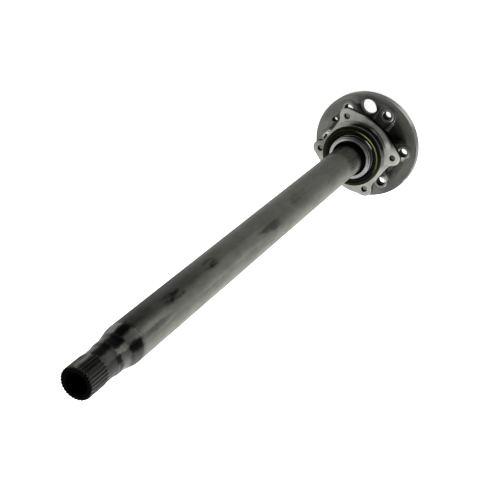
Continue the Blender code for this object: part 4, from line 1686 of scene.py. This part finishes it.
@dataclass
class BearingInside:
    """The inner rings, cages and balls between the shaft and the outer ring."""

    ball_radius: float = 5.2
    balls: int = 14
    land_radius: float = 35.1
    bore_radius: float = 29.2
    ring_round: float = 0.8
    ring_segments: int = 128
    cage_wall: float = 3.4
    cage_back: float = 7.5
    cage_finger: float = 3.5
    cage_round: float = 0.4
    cage_segments: int = 112
    pocket_clearance: float = 0.3

    def inner_ring(self, side: Side, row: float, finish: Material) -> None:
        """Makes one inner ring.

        Args:
            side: The bearing's end.
            row: The height of its balls' centres.
            finish: Its material.
        """
        node = f"inner_ring_{side.value}"
        low, high = level(node, False), level(node, True)
        half = math.acos((PITCH_RADIUS - self.land_radius) / GROOVE_RADIUS)
        edges = soften([(self.land_radius, high), (self.bore_radius, high), (self.bore_radius, low),
                        (self.land_radius, low)], self.ring_round, 3)
        groove = arc((PITCH_RADIUS, row), GROOVE_RADIUS, math.pi + half, math.pi - half, 12)
        piece = new_object(f"inner_race_{side.value}", turned(edges + groove, self.ring_segments))
        shade(piece)
        settle(piece, finish, Body.AXLE, Slot.RING_STEEL, node)

    def ball_row(self, side: Side, row: float, body: Body, pattern: ShapeTree, finish: Material) -> None:
        """Makes one row of balls.

        Args:
            side: The bearing's end.
            row: The height of the balls' centres.
            body: The body that the row rides on.
            pattern: The tree that repeats a shape about the shaft.
            finish: The balls' material.
        """
        ball = bmesh.new()
        bmesh.ops.create_icosphere(ball, subdivisions=4, radius=self.ball_radius * MM)
        bmesh.ops.translate(ball, verts=ball.verts, vec=(0.0, 0.0, row * MM))
        piece = pattern.make(f"balls_{side.value}", ball, Count=self.balls, Radius=PITCH_RADIUS * MM,
                             Start_angle=0.0)
        shade(piece)
        settle(piece, finish, body, Slot.BALL_STEEL,
               *[f"ball_{side.value}_{k + 1:02d}" for k in range(self.balls)])

    def cage(self, side: Side, row: float, body: Body, pockets: ShapeTree, finish: Material) -> None:
        """Makes one snap cage, whose back points towards the middle of the bearing.

        Args:
            side: The bearing's end.
            row: The height of the balls' centres.
            body: The body that the row rides on.
            pockets: The tree that cuts the pockets.
            finish: The cage's material.
        """
        inwards = 1.0 if side is Side.WHEEL else -1.0
        ends = (row - inwards * self.cage_finger, row + inwards * self.cage_back)
        inside, outside = PITCH_RADIUS - self.cage_wall / 2, PITCH_RADIUS + self.cage_wall / 2
        section = [(inside, ends[0]), (outside, ends[0]), (outside, ends[1]), (inside, ends[1])]
        profile = soften(section, self.cage_round, 2)
        piece = pockets.make(f"snap_cage_{side.value}", turned(profile, self.cage_segments),
                             Count=self.balls, Radius=PITCH_RADIUS * MM, Height=row * MM,
                             Pocket_radius=(self.ball_radius + self.pocket_clearance) * MM)
        shade(piece)
        settle(piece, finish, body, Slot.CAGE, f"cage_{side.value}")


@dataclass
class Closure:
    """What closes the bearing: a seal at each end, and the O-ring and the locking collar."""

    case_radius: float = 39.8
    lip_radius: float = 35.4
    cover_radius: float = 41.0
    cover_width: float = 0.8
    wall: float = 1.2
    web_depth: float = 2.7
    rib: tuple[Pair, ...] = ((1.5, 0.5), (2.3, 0.9), (3.0, 0.3))
    lip_chamfer: Pair = (0.3, 0.8)
    gap: float = 0.6
    seal_round: float = 0.35
    o_ring_centre: Pair = (44.9, 84.7)
    o_ring_section: float = 3.3
    collar_bore: float = 28.95
    collar_radius: float = 34.7
    collar_step_depth: float = 3.0
    collar_step_width: float = 1.7
    collar_round: float = 0.6
    segments: int = 160

    def seal(self, side: Side, finish: Material) -> None:
        """Makes one lip seal with a ribbed cover and a sloping lip.

        Args:
            side: The bearing's end.
            finish: The seal's material.
        """
        node = f"seal_{side.value}"
        outwards = 1.0 if side is Side.TUBE else -1.0
        face = level(node, side is Side.TUBE)
        back = level(node, side is Side.WHEEL) + outwards * self.gap
        cover = face - outwards * self.wall
        web = face - outwards * self.web_depth
        profile = [(self.case_radius, back), (self.case_radius, cover), (self.cover_radius, cover),
                   (self.cover_radius, face), (self.case_radius - self.cover_width, face)]
        profile += [(self.case_radius - inset, web + outwards * rise) for inset, rise in self.rib]
        profile += [(self.lip_radius + self.lip_chamfer[0], web),
                    (self.lip_radius, web - outwards * self.lip_chamfer[1]),
                    (self.lip_radius, back + outwards * self.wall)]
        profile += [(radius, web - outwards * self.wall)
                    for radius in (self.lip_radius + self.wall, self.case_radius - self.wall)]
        profile.append((self.case_radius - self.wall, back))
        profile = soften(profile, self.seal_round, 2)
        piece = new_object(f"lip_seal_{side.value}", turned(profile, self.segments))
        shade(piece)
        settle(piece, finish, Body.HOUSING, Slot.SEAL, node)

    def o_ring(self, sweep: ShapeTree, finish: Material) -> None:
        """Makes the O-ring in the corner behind the pilot's end.

        Args:
            sweep: The tree that sweeps a ring.
            finish: The O-ring's material.
        """
        piece = sweep.make("pilot_o_ring", None, Radius=self.o_ring_centre[0] * MM,
                           Section_radius=self.o_ring_section * MM, Height=self.o_ring_centre[1] * MM)
        shade(piece)
        settle(piece, finish, Body.HOUSING, Slot.O_RING, "o_ring")

    def collar(self, finish: Material) -> None:
        """Makes the stepped locking collar.

        Args:
            finish: The collar's material.
        """
        low, high = level("locking_collar", False), level("locking_collar", True)
        step, upper = high - self.collar_step_depth, self.collar_radius - self.collar_step_width
        profile = [(self.collar_bore, low), (self.collar_radius, low), (self.collar_radius, step),
                   (upper, step), (upper, high), (self.collar_bore, high)]
        profile = soften(profile, self.collar_round, 4, closed=False)
        piece = new_object("stepped_collar", turned(profile, self.segments))
        shade(piece)
        settle(piece, finish, Body.AXLE, Slot.COLLAR_STEEL, "locking_collar")


@dataclass(frozen=True)
class Lamp:
    """A soft square light. Lengths are in metres and the power is in watts."""

    name: str
    place: Point
    aim: Point
    size: float
    power: float


LAMPS = (
    Lamp("side_light", (-0.8, -2.15, 0.85), (0.0, 0.0, 0.4), 1.2, 115.0),
    Lamp("top_light", (-1.25, 0.18, 2.6), (0.0, 0.0, 0.1), 2.4, 30.0),
    Lamp("far_light", (-1.6, 1.5, 1.0), (0.0, 0.0, 0.4), 1.0, 8.0),
)


@dataclass
class Studio:
    """Pale floor, soft lights and the camera, in metres."""

    eye: Point = (0.7947, -0.1123, 1.5848)
    target: Point = (-0.0013, -0.0097, 0.4588)
    roll: float = math.radians(-130.151)
    lens: float = 76.98
    sensor: float = 36.0
    clip: Pair = (0.05, 50.0)
    floor_colour: float = 0.8
    floor_glow: float = 0.92
    floor_gloss: float = 0.35
    floor_size: float = 6.0
    floor_drop: float = 0.0004
    world_light: float = 0.24
    dark_side: Point = (0.57, -0.08, 0.82)
    dark_full: float = cosine(35.0)
    dark_edge: float = cosine(62.0)

    def camera(self) -> None:
        """Places the camera at the photo's viewing angle."""
        data = bpy.data.cameras.new("studio_camera")
        data.lens, data.sensor_width = self.lens, self.sensor
        data.clip_start, data.clip_end = self.clip
        made = bpy.data.objects.new("studio_camera", data)
        bpy.context.scene.collection.objects.link(made)
        back = (Vector(self.eye) - Vector(self.target)).normalized()
        upright = back.to_track_quat("Z", "Y").to_matrix().to_4x4()
        made.matrix_world = Matrix.Translation(self.eye) @ upright @ Matrix.Rotation(self.roll, 4, "Z")
        bpy.context.scene.camera = made

    def floor(self) -> None:
        """Lays the floor, which looks white and keeps the object's shadow."""
        mesh = bmesh.new()
        bmesh.ops.create_grid(mesh, x_segments=1, y_segments=1, size=self.floor_size)
        bmesh.ops.translate(mesh, verts=mesh.verts, vec=(0.0, 0.0, -self.floor_drop))
        made = new_object("studio_floor", mesh)
        material = bpy.data.materials.new("studio_paper")
        material.use_nodes = True
        sheet = Sheet(material.node_tree)
        rays = sheet.add("ShaderNodeLightPath")
        mirrored = sheet.math("MAXIMUM", rays.outputs["Is Glossy Ray"], rays.outputs["Is Transmission Ray"])
        glow = sheet.math("ADD", sheet.times(rays.outputs["Is Camera Ray"], self.floor_glow),
                          sheet.times(mirrored, self.floor_gloss))
        shader = material.node_tree.nodes["Principled BSDF"].inputs
        paper = {"Base Color": (self.floor_colour,) * 3 + (1.0,), "Roughness": 1.0,
                 "Specular IOR Level": 0.0, "Emission Color": WHITE, "Emission Strength": glow}
        for name, value in paper.items():
            sheet.give(shader[name], value)
        made.data.materials.append(material)

    def light(self, lamp: Lamp) -> None:
        """Places one soft square light.

        Args:
            lamp: The light's size, place and power.
        """
        data = bpy.data.lights.new(lamp.name, "AREA")
        data.shape, data.size, data.energy = "SQUARE", lamp.size, lamp.power
        made = bpy.data.objects.new(lamp.name, data)
        bpy.context.scene.collection.objects.link(made)
        away = Vector(lamp.place) - Vector(lamp.aim)
        turn = away.to_track_quat("Z", "Y").to_matrix().to_4x4()
        made.matrix_world = Matrix.Translation(lamp.place) @ turn

    def world(self) -> None:
        """Sets the plain surroundings, which look white and light the object softly."""
        made = bpy.data.worlds.new("studio_world")
        made.use_nodes = True
        sheet = Sheet(made.node_tree)
        rays = sheet.add("ShaderNodeLightPath")
        ray_way = sheet.add("ShaderNodeTexCoord").outputs["Generated"]
        towards = sheet.vector("DOT_PRODUCT", ray_way, self.dark_side, "Value")
        bright = sheet.between(towards, self.dark_full, self.dark_edge)
        mirrored = sheet.times(rays.outputs["Is Glossy Ray"], bright)
        seen = sheet.math("MAXIMUM", rays.outputs["Is Camera Ray"],
                          sheet.math("MAXIMUM", mirrored, rays.outputs["Is Transmission Ray"]))
        strength = sheet.add("ShaderNodeMapRange", {"Value": seen, "To Min": self.world_light, "To Max": 1.0})
        background = made.node_tree.nodes["Background"].inputs
        background["Color"].default_value = WHITE
        sheet.give(background["Strength"], strength.outputs["Result"])
        bpy.context.scene.world = made

    def build(self) -> None:
        """Sets up the whole studio."""
        self.world()
        self.floor()
        for lamp in LAMPS:
            self.light(lamp)
        self.camera()
        bpy.context.scene.view_settings.view_transform = "Standard"


def main() -> None:
    """Builds every piece and the studio."""
    logging.basicConfig(level=logging.INFO, format="%(name)s %(message)s")
    effects = Effects()
    pattern, pockets, sweep, winding = pattern_tree(), pocket_tree(), swept_ring_tree(), thread_tree()
    ForgedAxle().build(pattern, winding, ForgingFinish().make(effects))
    EaredRing().build(pattern, RingSteelFinish().make(effects))
    inside = BearingInside()
    race_steel, ball_steel = RACE_STEEL.make(effects), BALL_STEEL.make(effects)
    cage_plastic = CAGE_PLASTIC.make(effects)
    for side, row, body in zip(Side, BALL_ROWS, (Body.WHEEL_ROW, Body.TUBE_ROW)):
        inside.inner_ring(side, row, race_steel)
        inside.ball_row(side, row, body, pattern, ball_steel)
        inside.cage(side, row, body, pockets, cage_plastic)
    closure = Closure()
    seal_rubber = SEAL_RUBBER.make(effects)
    for side in Side:
        closure.seal(side, seal_rubber)
    closure.o_ring(sweep, O_RING_RUBBER.make(effects))
    closure.collar(COLLAR_STEEL.make(effects))
    Studio().build()


if __name__ == "__main__":
    main()
